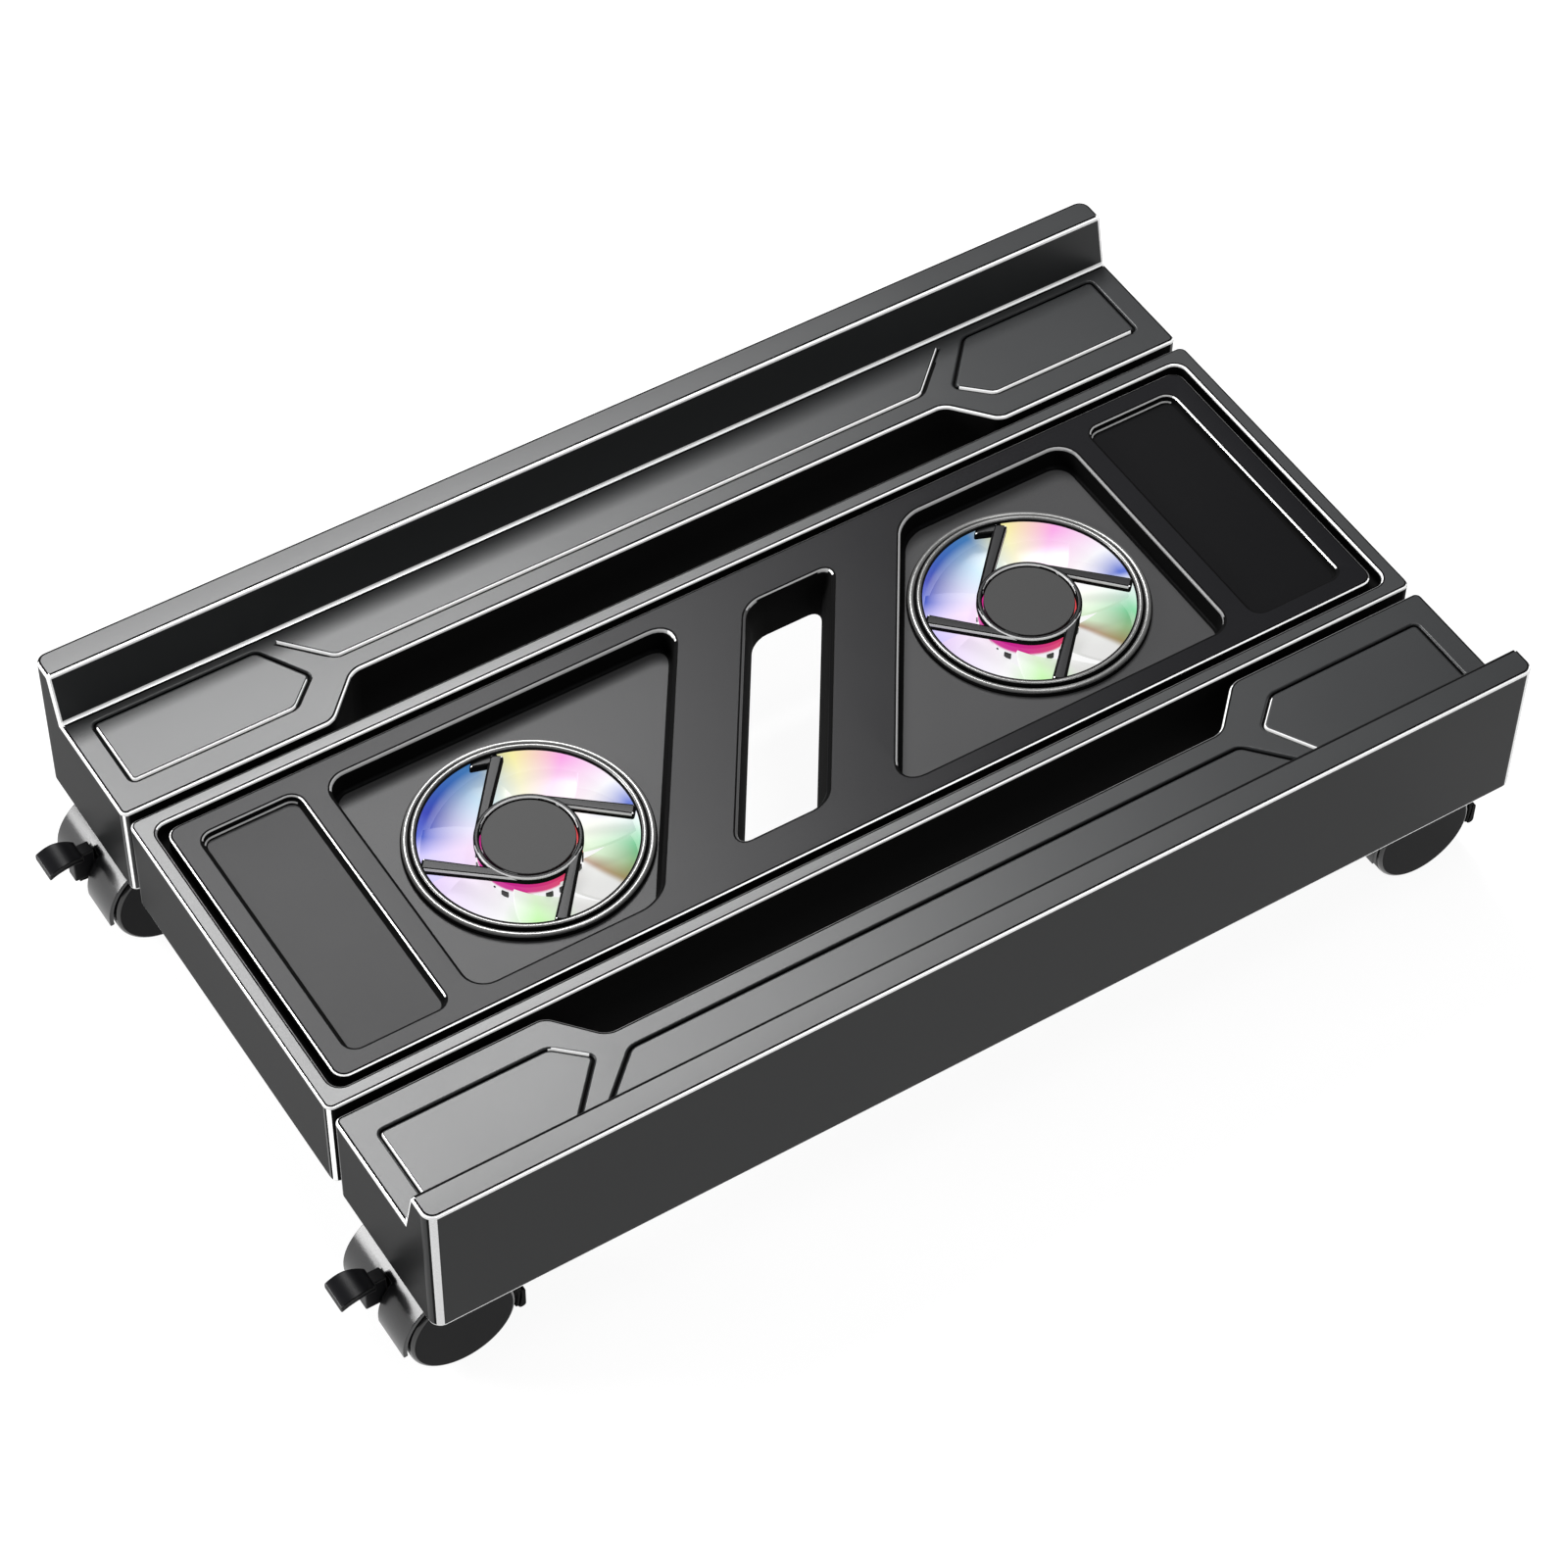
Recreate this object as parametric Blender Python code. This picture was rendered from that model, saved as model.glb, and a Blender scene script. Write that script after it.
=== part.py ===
"""Rolling stand for a computer tower: a deck with two fans between two sliding lip rails.

Metres, +Z up, floor at z = 0. X runs along the deck and the front rail lies on -Y.
"""

import math

import bmesh
import bpy
from mathutils import Matrix, Vector

# Body
LENGTH = 0.440
DECK_WIDTH = 0.141
DECK_HEIGHT = 0.086
DECK_CORNER = 0.0025
WALL = 0.0025
EDGE = 0.0008
SEAT = 0.0003

# Deck frame and the panel dropped into it
FRAME_BORDER = 0.006
PANEL_GROOVE = 0.003
PANEL_CORNER = 0.005
PANEL_DROP = 0.0003
PANEL_RIM_DEPTH = 0.0058
PANEL_RIM_WIDTH = 0.007
PANEL_FLANGE = 0.0023
LEDGE_REACH = 0.008
LEDGE_THICKNESS = 0.0024

# Fans, and the wedge pockets laid out around them
FAN_X = 0.1036
BEZEL_RADIUS = 0.0444
BEZEL_RISE = 0.0025
BEZEL_GROOVE = 0.45
DUCT_RADIUS = 0.0389
DUCT_WALL = 0.0021
FAN_DEPTH = 0.0235
BARB_REACH = 0.0014
BARB_HEIGHT = 0.003
MOTOR_RADIUS = 0.0185
MOTOR_CAP_RADIUS = 0.0160
MOTOR_BASE = 0.003
STRUT_WIDTH = 0.0032
STRUT_HEIGHT = 0.0035
STRUT_COUNT = 4
STRUT_ANGLES = {"a": 50.0, "b": 45.0}
POCKET_DEPTH = 0.010
POCKET_DRAFT = 0.0012
POCKET_CORNER = 0.008
POCKET_END_MARGIN = 0.007
POCKET_BORDER = 0.0085
POCKET_SLANT_MARGIN = 0.002
SLANT = math.radians(33.6)

# Fan motor
TUBE_RADIUS = 0.0045
TUBE_BORE = 0.0032
TUBE_LENGTH = 0.0123
SHAFT_RADIUS = 0.0015
BOARD_RADIUS = 0.0148
BOARD_THICKNESS = 0.0014
STATOR_RADIUS = 0.0105
STATOR_HEIGHT = 0.009
HUB_RADIUS = 0.017
HUB_WALL = 0.0018
HUB_TOP_GAP = 0.0028
HUB_FLOOR_RISE = 0.0015
MAGNET_THICKNESS = 0.0027
MAGNET_HEIGHT = 0.012
BLADE_COUNT = 7
BLADE_THICKNESS = 0.0012
BLADE_TIP_GAP = 0.0015
BLADE_HEIGHT = 0.0135
BLADE_ROOT_SHARE = 0.80
BLADE_TIP_SHARE = 0.84
BLADE_SWEEP = math.radians(16.0)
BLADE_FALL = 0.9
BLADE_BOW = 0.12
BLADE_STATIONS = (-0.5, -0.18, 0.18, 0.5)

# End recesses and the slanted slot through the deck
RECESS_DEPTH = 0.0035
RECESS_GAP = 0.0095
RECESS_MARGIN = 0.009
RECESS_CORNER = 0.0045
SLOT_WIDTH = 0.036
SLOT_HALF_LENGTH = 0.0458
SLOT_CORNER = 0.006
SLOT_DEPTH = 0.027
SLOT_STEP_DEPTH = 0.016
SLOT_STEP = 0.0012

# Panel screws
SCREW_RADIUS = 0.0015
SCREW_HEAD_RADIUS = 0.0028
SCREW_HEAD = 0.0018
PANEL_SCREW_INSET = 0.055
SCREW_COVER = 0.0012

# Rails
RAIL_GAP = 0.0038
RAIL_WIDTH = 0.0637
RAIL_CORNER = 0.0045
LIP_RISE = 0.0204
LIP_FOOT = 0.0164
LIP_CREST = 0.0113
RELIEF_DEPTH = 0.0167
RELIEF_LAND = 0.009
RELIEF_SLANT = 0.0145
RIB = 0.002
RIB_PITCH = 0.036
LINE_WIDTH = 0.0012
LINE_DEPTH = 0.0008
LINE_CORNER = 0.003
LINE_LIP_MARGIN = 0.005
LINE_END_MARGIN = 0.010
LINE_INNER_MARGIN = 0.012
MID_LINE_INSET = 0.009
MID_LINE_HALF = 0.123
MID_LINE_SLANT = 0.015
PANEL_LINE_SPACING = 0.010

# Slide tongues that carry the rails
TONGUE_WIDTH = 0.028
TONGUE_THICKNESS = 0.006
TONGUE_DROP = 0.020
TONGUE_TIP_GAP = 0.004
TONGUE_END_GAP = 0.0007
TONGUE_SHOULDER = 0.003
GUIDE_REACH = 0.004
GUIDE_LEDGE = 0.0035
GUIDE_TO_FAN = 0.002
STOP_LENGTH = 0.008
STOP_HEIGHT = 0.0022
STOP_WIDTH = 0.016
TRAVEL = 0.045
TONGUE_BOSS_RADIUS = 0.0042

# Casters
CASTER_INSET_X = 0.0215
CASTER_Y = 0.1055
TRAIL = 0.0055
WHEEL_RADIUS = 0.020
WHEEL_WIDTH = 0.0135
WHEEL_SPACING = 0.016
WHEEL_ROUND = 0.0015
WHEEL_FACE = 0.002
HOOD_GAP = 0.0008
HOOD_SHELL = 0.0017
HOOD_LENGTH = 0.038
HOOD_FRONT = math.radians(182.0)
HOOD_REAR = math.radians(-10.0)
WEB_FRONT = math.radians(205.0)
WEB_REAR = math.radians(335.0)
WEB_GAP = 0.0005
AXLE_RADIUS = 0.0025
AXLE_BOSS = 0.006
STEM_RADIUS = 0.004
STEM_COLLAR = 0.006
STEM_BITE = 0.0135
STEM_REACH = 0.029
SEAT_FACE_DROP = 0.003
SWIVEL_GAP = 0.0015
SOCKET_WALL = 0.0019
SOCKET_FLANGE_RADIUS = 0.009
SOCKET_FLANGE = 0.0017
SOCKET_RECESS = 0.001
CASTER_BOSS_RADIUS = 0.0088

# Brake lever on the casters of the -X end
LEVER_PIVOT_RADIUS = 0.017
LEVER_PIVOT_ANGLE = math.radians(128.0)
LEVER_KNUCKLE = 0.003
LEVER_ROOT_WIDTH = 0.0084
LEVER_THICKNESS = 0.0026
LEVER_TRAVEL = math.radians(14.0)
PEDAL_WIDTH = 0.011
PEDAL_REACH = 0.026
PEDAL_RISE = 0.0041
PEDAL_ARCH = 0.0045
PEDAL_START = 0.5
ROOT_END = 0.9
SLOT_SHARES = (0.08, 0.15, 0.24, 0.36, 0.5)

# Supply inlet in the +X end wall
INLET_RADIUS = 0.0036
INLET_FLANGE_RADIUS = 0.0048
INLET_FLANGE = 0.001
INLET_LENGTH = 0.010
INLET_BORE = 0.0016
INLET_INSET = 0.0255
INLET_RISE = 0.012

# Facets
ARC_STEPS = 3
FINE_SIDES = 28
WHEEL_SIDES = 20
ROUND_SIDES = 16
SMALL_SIDES = 10
SCREW_SIDES = 8
HOOD_STEPS = 10
BLADE_SPANS = 2

# Places worked out from the sizes above
HOOD_RADIUS = WHEEL_RADIUS + HOOD_GAP + HOOD_SHELL
SKIRT_DEPTH = DECK_HEIGHT - WHEEL_RADIUS - HOOD_RADIUS - SWIVEL_GAP
PANEL_X = LENGTH / 2 - FRAME_BORDER - PANEL_GROOVE
PANEL_Y = DECK_WIDTH / 2 - FRAME_BORDER - PANEL_GROOVE
LEDGE_TOP = -PANEL_RIM_DEPTH - SEAT
LEDGE_BOTTOM = LEDGE_TOP - LEDGE_THICKNESS
POCKET_Y = PANEL_Y - POCKET_BORDER
POCKET_END = FAN_X + BEZEL_RADIUS + POCKET_END_MARGIN
BEZEL_TOP = BEZEL_RISE - POCKET_DEPTH
DUCT_BOTTOM = BEZEL_TOP - FAN_DEPTH
MOTOR_TOP = BEZEL_TOP - SEAT
MOTOR_BOTTOM = MOTOR_TOP - MOTOR_BASE
HUB_TOP = MOTOR_BOTTOM - HUB_TOP_GAP
HUB_BOTTOM = DUCT_BOTTOM + HUB_FLOOR_RISE
RAIL_INNER = DECK_WIDTH / 2 + RAIL_GAP
RAIL_OUTER = RAIL_INNER + RAIL_WIDTH
TONGUE_BOTTOM = -TONGUE_DROP - TONGUE_THICKNESS
GUIDE_FACE = TONGUE_WIDTH / 2 + SEAT
TONGUE_END = CASTER_Y - CASTER_BOSS_RADIUS - TONGUE_END_GAP
TONGUE_SCREW_Y = (RAIL_INNER + TONGUE_END) / 2
TONGUE_X = FAN_X + DUCT_RADIUS + DUCT_WALL + BARB_REACH + GUIDE_TO_FAN + RIB + GUIDE_FACE
RELIEF_MOUTH = TONGUE_X - GUIDE_FACE - RELIEF_LAND
RELIEF_FLOOR = RELIEF_MOUTH - RELIEF_SLANT
CASTER_X = LENGTH / 2 - CASTER_INSET_X
SEAT_FACE = HOOD_RADIUS - SEAT_FACE_DROP
SOCKET_FOOT = DECK_HEIGHT - SKIRT_DEPTH + SOCKET_RECESS - WHEEL_RADIUS
SOCKET_RADIUS = STEM_RADIUS + SEAT + SOCKET_WALL
LEVER_PIVOT = Vector((math.cos(LEVER_PIVOT_ANGLE), math.sin(LEVER_PIVOT_ANGLE))) * LEVER_PIVOT_RADIUS


def finish(name, colour, roughness, metallic=0.0, alpha=1.0):
    """Plain surface for one kind of piece."""
    made = bpy.data.materials.new(name)
    made.use_nodes = True
    surface = made.node_tree.nodes["Principled BSDF"]
    surface.inputs["Base Color"].default_value = (*colour, 1.0)
    surface.inputs["Roughness"].default_value = roughness
    surface.inputs["Metallic"].default_value = metallic
    surface.inputs["Alpha"].default_value = alpha
    return made


def outline(corners, radius, grow=0.0, steps=ARC_STEPS):
    """Corner points of a polygon drawn counter-clockwise, grown outward and rounded."""
    points = []
    count = len(corners)
    for index, corner in enumerate(corners):
        here = Vector(corner)
        before = (here - Vector(corners[index - 1])).normalized()
        after = (Vector(corners[(index + 1) % count]) - here).normalized()
        out_before = Vector((before.y, -before.x))
        out_after = Vector((after.y, -after.x))
        moved = here + (out_before + out_after) * grow / (1.0 + out_before.dot(out_after))
        if radius == 0.0:
            points.append(moved)
            continue
        bend = math.atan2(before.cross(after), before.dot(after))
        side = math.copysign(1.0, bend)
        bow = max(radius + side * grow, SEAT)
        start = moved - before * bow * math.tan(abs(bend) / 2)
        centre = start - out_before * side * bow
        for step in range(steps + 1):
            turn = Matrix.Rotation(bend * step / steps, 2)
            points.append(centre + turn @ (start - centre))
    return points


def loft(corners, radius, levels):
    """Closed solid through copies of one outline, each level being (height, growth)."""
    solid = bmesh.new()
    rings = []
    for height, grow in levels:
        ring = [solid.verts.new((*point, height)) for point in outline(corners, radius, grow)]
        rings.append(ring)
    solid.faces.new(reversed(rings[0]))
    solid.faces.new(rings[-1])
    for low, high in zip(rings, rings[1:]):
        for index, corner in enumerate(low):
            after = (index + 1) % len(low)
            solid.faces.new((corner, low[after], high[after], high[index]))
    return solid


def ring_prism(corners, radius, half_width, bottom, top):
    """Closed band that follows an outline, half_width to each side of it."""
    solid = bmesh.new()
    loops = []
    sides = [(bottom, half_width), (top, half_width), (top, -half_width), (bottom, -half_width)]
    for height, grow in sides:
        points = outline(corners, radius, grow, 1)
        loops.append([solid.verts.new((*point, height)) for point in points])
    for loop, following in zip(loops, loops[1:] + loops[:1]):
        for index, corner in enumerate(loop):
            after = (index + 1) % len(loop)
            solid.faces.new((corner, loop[after], following[after], following[index]))
    return solid


def turned(profile, sides):
    """Solid of revolution about Z from a closed profile of (radius, height) points."""
    solid = bmesh.new()
    rings = []
    for radius, height in profile:
        if radius == 0.0:
            rings.append([solid.verts.new((0.0, 0.0, height))] * sides)
            continue
        ring = []
        for step in range(sides):
            angle = math.tau * step / sides
            ring.append(solid.verts.new((radius * math.cos(angle), radius * math.sin(angle), height)))
        rings.append(ring)
    for ring, following in zip(rings, rings[1:] + rings[:1]):
        for index in range(sides):
            after = (index + 1) % sides
            corners = (ring[index], ring[after], following[after], following[index])
            face = list(dict.fromkeys(corners))
            if len(face) > 2:
                solid.faces.new(face)
    return solid


def tube(inner, outer, bottom, top, sides):
    """Round sleeve about Z."""
    return turned([(inner, bottom), (outer, bottom), (outer, top), (inner, top)], sides)


def rod(radius, bottom, top, sides):
    """Round bar about Z."""
    return turned([(0.0, bottom), (radius, bottom), (radius, top), (0.0, top)], sides)


def box(x, y, z):
    """Block between pairs of limits along each axis."""
    corners = [(x[0], y[0]), (x[1], y[0]), (x[1], y[1]), (x[0], y[1])]
    return loft(corners, 0.0, [(z[0], 0.0), (z[1], 0.0)])


def rectangle(half_x, half_y):
    """Corners of a centred rectangle."""
    return [(-half_x, -half_y), (half_x, -half_y), (half_x, half_y), (-half_x, half_y)]


def mirrored(corners):
    """The same polygon turned half a turn about its origin."""
    return [(-x, -y) for x, y in corners]


def flipped(corners):
    """The same polygon mirrored in x, kept counter-clockwise."""
    return [(-x, y) for x, y in reversed(corners)]


def placed(solid, *matrices):
    """The solid moved by matrices, the last one first."""
    for matrix in reversed(matrices):
        solid.transform(matrix)
    return solid


def shift(x=0.0, y=0.0, z=0.0):
    """Translation matrix."""
    return Matrix.Translation((x, y, z))


def spin(angle, axis="Z"):
    """Rotation matrix."""
    return Matrix.Rotation(angle, 4, axis)


# Stands a plan drawing up in the XZ plane, and lays a YZ section along X.
UPRIGHT = spin(math.pi / 2, "X")
ALONG_X = Matrix(((0, 0, 1, 0), (1, 0, 0, 0), (0, 1, 0, 0), (0, 0, 0, 1)))


def gathered(solids):
    """Several separate solids in one mesh."""
    whole = bmesh.new()
    for solid in solids:
        mesh = bpy.data.meshes.new("piece")
        solid.to_mesh(mesh)
        solid.free()
        whole.from_mesh(mesh)
        bpy.data.meshes.remove(mesh)
    return whole


def add_empty(name, parent, location, angle=0.0):
    """Reference frame for a group of pieces, on its joint's axis where it moves."""
    frame = bpy.data.objects.new(name, None)
    bpy.context.scene.collection.objects.link(frame)
    frame.parent = parent
    frame.location = location
    frame.rotation_euler = (0.0, 0.0, angle)
    return frame


def add_piece(name, solid, parent, surface):
    """Named object from a solid, shaded smooth between its sharp edges."""
    bmesh.ops.recalc_face_normals(solid, faces=solid.faces)
    mesh = bpy.data.meshes.new(name)
    solid.to_mesh(mesh)
    solid.free()
    mesh.shade_smooth()
    mesh.set_sharp_from_angle(angle=math.radians(35.0))
    mesh.materials.append(surface)
    piece = bpy.data.objects.new(name, mesh)
    bpy.context.scene.collection.objects.link(piece)
    piece.parent = parent
    return piece


def combine(piece, operation, *solids):
    """Boolean of a piece with separate solids drawn in the same frame."""
    name = f"{piece.name}_{operation.lower()}_{len(piece.modifiers)}"
    tool = add_piece(name, gathered(solids), piece.parent, piece.data.materials[0])
    tool.display_type = "WIRE"
    tool.hide_render = True
    step = piece.modifiers.new(operation.title(), "BOOLEAN")
    step.operation = operation
    step.solver = "EXACT"
    step.object = tool


def round_edges(piece, width):
    """Moulded rounding on every sharp edge that the piece has so far."""
    step = piece.modifiers.new("Rounding", "BEVEL")
    step.width = width
    step.segments = 1
    step.limit_method = "ANGLE"
    step.angle_limit = math.radians(40.0)


def pocket_corners():
    """Wedge pocket round the fan at -X; the other pocket is this one turned half a turn."""
    slant_x = -FAN_X + (BEZEL_RADIUS + POCKET_SLANT_MARGIN) / math.cos(SLANT)
    lean = POCKET_Y * math.tan(SLANT)
    return [
        (-POCKET_END, -POCKET_Y),
        (slant_x - lean, -POCKET_Y),
        (slant_x + lean, POCKET_Y),
        (-POCKET_END, POCKET_Y),
    ]


def recess_corners():
    """Shallow rectangular recess at the -X end of the panel."""
    inner = -POCKET_END - RECESS_GAP
    outer = -PANEL_X + RECESS_MARGIN
    return [(outer, -POCKET_Y), (inner, -POCKET_Y), (inner, POCKET_Y), (outer, POCKET_Y)]


def slot_corners():
    """Slanted slot through the middle of the deck."""
    lean = SLOT_HALF_LENGTH * math.tan(SLANT)
    half = SLOT_WIDTH / 2
    return [
        (-half - lean, -SLOT_HALF_LENGTH),
        (half - lean, -SLOT_HALF_LENGTH),
        (half + lean, SLOT_HALF_LENGTH),
        (-half + lean, SLOT_HALF_LENGTH),
    ]


def panel_screw_places():
    """Plan positions of the four screws that hold the panel down."""
    return rectangle(LENGTH / 2 - PANEL_SCREW_INSET, PANEL_Y - PANEL_RIM_WIDTH / 2)


def guide_rib(side):
    """C-shaped guide along one edge of a tongue, run across the deck."""
    face = GUIDE_FACE
    foot = TONGUE_BOTTOM - SEAT
    roof = -TONGUE_DROP + SEAT
    section = [
        (face - GUIDE_REACH, foot - GUIDE_LEDGE),
        (face + RIB, foot - GUIDE_LEDGE),
        (face + RIB, -POCKET_DEPTH - WALL - EDGE),
        (face, -POCKET_DEPTH - WALL - EDGE),
        (face, roof + GUIDE_LEDGE),
        (face - GUIDE_REACH, roof + GUIDE_LEDGE),
        (face - GUIDE_REACH, roof),
        (face, roof),
        (face, foot),
        (face - GUIDE_REACH, foot),
    ]
    reach = DECK_WIDTH / 2 - WALL / 2
    drawn = section if side > 0 else flipped(section)
    return placed(loft(drawn, 0.0, [(-reach, 0.0), (reach, 0.0)]), UPRIGHT)


def inlet_frame():
    """Places the supply inlet's axis along X at the +X end wall."""
    return shift(LENGTH / 2, DECK_WIDTH / 2 - INLET_INSET, INLET_RISE - SKIRT_DEPTH) @ ALONG_X


def build_deck_frame(deck):
    """Rim, skirt and underside guides of the centre deck."""
    outer = rectangle(LENGTH / 2, DECK_WIDTH / 2)
    rim = [(-SKIRT_DEPTH, 0.0), (-EDGE, 0.0), (0.0, -EDGE)]
    frame = add_piece("deck_frame", loft(outer, DECK_CORNER, rim), deck, GUNMETAL)
    opening = rectangle(LENGTH / 2 - FRAME_BORDER, DECK_WIDTH / 2 - FRAME_BORDER)
    hollow = FRAME_BORDER - WALL
    steps = [
        (-SKIRT_DEPTH - WALL, hollow),
        (LEDGE_BOTTOM, hollow),
        (LEDGE_BOTTOM, -LEDGE_REACH),
        (LEDGE_TOP, -LEDGE_REACH),
        (LEDGE_TOP, 0.0),
        (-EDGE, 0.0),
        (0.0, EDGE),
        (WALL, EDGE),
    ]
    combine(frame, "DIFFERENCE", loft(opening, PANEL_CORNER, steps))
    ribs = [placed(guide_rib(side), shift(end * TONGUE_X)) for end in (-1, 1) for side in (-1, 1)]
    combine(frame, "UNION", *ribs)
    cuts = []
    for end in (-1, 1):
        across = (end * TONGUE_X - GUIDE_FACE, end * TONGUE_X + GUIDE_FACE)
        upright = (TONGUE_BOTTOM - SEAT, -TONGUE_DROP + SEAT)
        for side in (-1, 1):
            wall = sorted((side * (DECK_WIDTH / 2 - 1.5 * WALL), side * (DECK_WIDTH / 2 + WALL)))
            cuts.append(box(across, wall, upright))
    for x, y in panel_screw_places():
        hole = rod(SCREW_RADIUS + SEAT, LEDGE_BOTTOM - WALL, LEDGE_TOP + SEAT, SCREW_SIDES)
        cuts.append(placed(hole, shift(x, y)))
    cuts.append(placed(rod(INLET_RADIUS + SEAT, -2 * WALL, WALL, SMALL_SIDES), inlet_frame()))
    combine(frame, "DIFFERENCE", *cuts)


def build_deck_panel(deck):
    """Inset panel with its wedge pockets, end recesses and slanted slot."""
    top = -PANEL_DROP
    plate = [
        (-PANEL_RIM_DEPTH, PANEL_GROOVE - SEAT),
        (-PANEL_RIM_DEPTH + PANEL_FLANGE, PANEL_GROOVE - SEAT),
        (-PANEL_RIM_DEPTH + PANEL_FLANGE, 0.0),
        (top - EDGE, 0.0),
        (top, -EDGE),
    ]
    edge = rectangle(PANEL_X, PANEL_Y)
    panel = add_piece("deck_panel", loft(edge, PANEL_CORNER, plate), deck, PANEL_BLACK)
    inside = rectangle(PANEL_X - PANEL_RIM_WIDTH, PANEL_Y - PANEL_RIM_WIDTH)
    underside = [(-PANEL_RIM_DEPTH - WALL, 0.0), (top - WALL, 0.0)]
    combine(panel, "DIFFERENCE", loft(inside, EDGE, underside))
    pocket = pocket_corners()
    recess = recess_corners()
    slot = slot_corners()
    root = top - WALL / 2
    pocket_shell = [(-POCKET_DEPTH - WALL, WALL - POCKET_DRAFT), (root, WALL)]
    recess_shell = [(-RECESS_DEPTH - WALL, WALL), (root, WALL)]
    slot_shell = [(-SLOT_DEPTH, WALL - SLOT_STEP), (-SLOT_STEP_DEPTH, WALL), (root, WALL)]
    shells = [loft(slot, SLOT_CORNER, slot_shell)]
    rim = [(top - EDGE, 0.0), (top, EDGE), (WALL, EDGE)]
    hollows = [
        loft(
            slot,
            SLOT_CORNER,
            [
                (-SLOT_DEPTH - WALL, -SLOT_STEP),
                (-SLOT_STEP_DEPTH, -SLOT_STEP),
                (-SLOT_STEP_DEPTH, 0.0),
                *rim,
            ],
        )
    ]
    for turn in (list, mirrored):
        shells.append(loft(turn(pocket), POCKET_CORNER, pocket_shell))
        shells.append(loft(turn(recess), RECESS_CORNER, recess_shell))
        hollows.append(loft(turn(pocket), POCKET_CORNER, [(-POCKET_DEPTH, -POCKET_DRAFT), *rim]))
        hollows.append(loft(turn(recess), RECESS_CORNER, [(-RECESS_DEPTH, 0.0), *rim]))
    combine(panel, "UNION", *shells)
    combine(panel, "DIFFERENCE", *hollows)
    holes = []
    for end in (-1, 1):
        below = -POCKET_DEPTH - 2 * WALL
        hole = rod(DUCT_RADIUS + DUCT_WALL + SEAT, below, -POCKET_DEPTH + WALL, FINE_SIDES)
        holes.append(placed(hole, shift(end * FAN_X)))
    for x, y in panel_screw_places():
        pilot = rod(SCREW_RADIUS + SEAT, -PANEL_RIM_DEPTH - WALL, top - SCREW_COVER, SCREW_SIDES)
        holes.append(placed(pilot, shift(x, y)))
    combine(panel, "DIFFERENCE", *holes)


def screw(seat, tip):
    """Pan-head screw driven upward, its head just under the seat."""
    head = seat - SEAT
    return turned(
        [
            (0.0, head - SCREW_HEAD),
            (SCREW_HEAD_RADIUS, head - SCREW_HEAD + EDGE),
            (SCREW_HEAD_RADIUS, head),
            (SCREW_RADIUS, head),
            (SCREW_RADIUS, tip - SCREW_RADIUS),
            (0.0, tip),
        ],
        SCREW_SIDES,
    )


def build_panel_screws(deck):
    """Screws up through the frame's ledge into the panel's rim."""
    tip = -PANEL_DROP - SCREW_COVER - SEAT
    for number, (x, y) in enumerate(panel_screw_places(), 1):
        add_piece(f"panel_screw_{number}", placed(screw(LEDGE_BOTTOM, tip), shift(x, y)), deck, STEEL)


def build_inlet(deck):
    """Round supply socket through the end wall of the deck."""
    profile = [
        (INLET_BORE, -INLET_LENGTH + INLET_BORE),
        (0.0, -INLET_LENGTH + INLET_BORE),
        (0.0, -INLET_LENGTH),
        (INLET_RADIUS, -INLET_LENGTH),
        (INLET_RADIUS, SEAT),
        (INLET_FLANGE_RADIUS, SEAT),
        (INLET_FLANGE_RADIUS, SEAT + INLET_FLANGE),
        (INLET_BORE, SEAT + INLET_FLANGE),
    ]
    add_piece("power_inlet", placed(turned(profile, SMALL_SIDES), inlet_frame()), deck, HARD_BLACK)


def bezel_profile():
    """Two rounded rings with a groove between them, on top of the duct wall."""
    width = BEZEL_RADIUS - DUCT_RADIUS
    foot = -POCKET_DEPTH + SEAT
    top = BEZEL_TOP
    return [
        (DUCT_RADIUS, DUCT_BOTTOM),
        (DUCT_RADIUS + DUCT_WALL, DUCT_BOTTOM),
        (DUCT_RADIUS + DUCT_WALL, foot),
        (BEZEL_RADIUS, foot),
        (BEZEL_RADIUS, top - EDGE),
        (BEZEL_RADIUS - EDGE, top - SEAT),
        (BEZEL_RADIUS - width * BEZEL_GROOVE, top - EDGE),
        (DUCT_RADIUS + EDGE, top),
        (DUCT_RADIUS, top - EDGE),
    ]


def motor_profile():
    """Motor base with its capped centre, and the bearing tube that hangs from it."""
    return [
        (0.0, MOTOR_TOP),
        (MOTOR_CAP_RADIUS, MOTOR_TOP),
        (MOTOR_CAP_RADIUS + EDGE, BEZEL_TOP),
        (MOTOR_RADIUS - EDGE, BEZEL_TOP),
        (MOTOR_RADIUS, BEZEL_TOP - EDGE),
        (MOTOR_RADIUS, MOTOR_BOTTOM),
        (TUBE_RADIUS, MOTOR_BOTTOM),
        (TUBE_RADIUS, MOTOR_BOTTOM - TUBE_LENGTH),
        (TUBE_BORE, MOTOR_BOTTOM - TUBE_LENGTH),
        (TUBE_BORE, MOTOR_BOTTOM - EDGE),
        (0.0, MOTOR_BOTTOM - EDGE),
    ]


def strut(angle):
    """Bar that leaves the motor base along a tangent and ends inside the duct wall."""
    offset = MOTOR_RADIUS - STRUT_WIDTH / 2
    reach = math.sqrt((DUCT_RADIUS + DUCT_WALL / 2) ** 2 - (offset + STRUT_WIDTH / 2) ** 2)
    bar = rectangle(reach / 2, STRUT_WIDTH / 2)
    top = BEZEL_TOP - EDGE
    levels = [(top - STRUT_HEIGHT, 0.0), (top - EDGE, 0.0), (top, -EDGE)]
    return placed(loft(bar, 0.0, levels), spin(angle), shift(reach / 2, offset))


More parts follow.
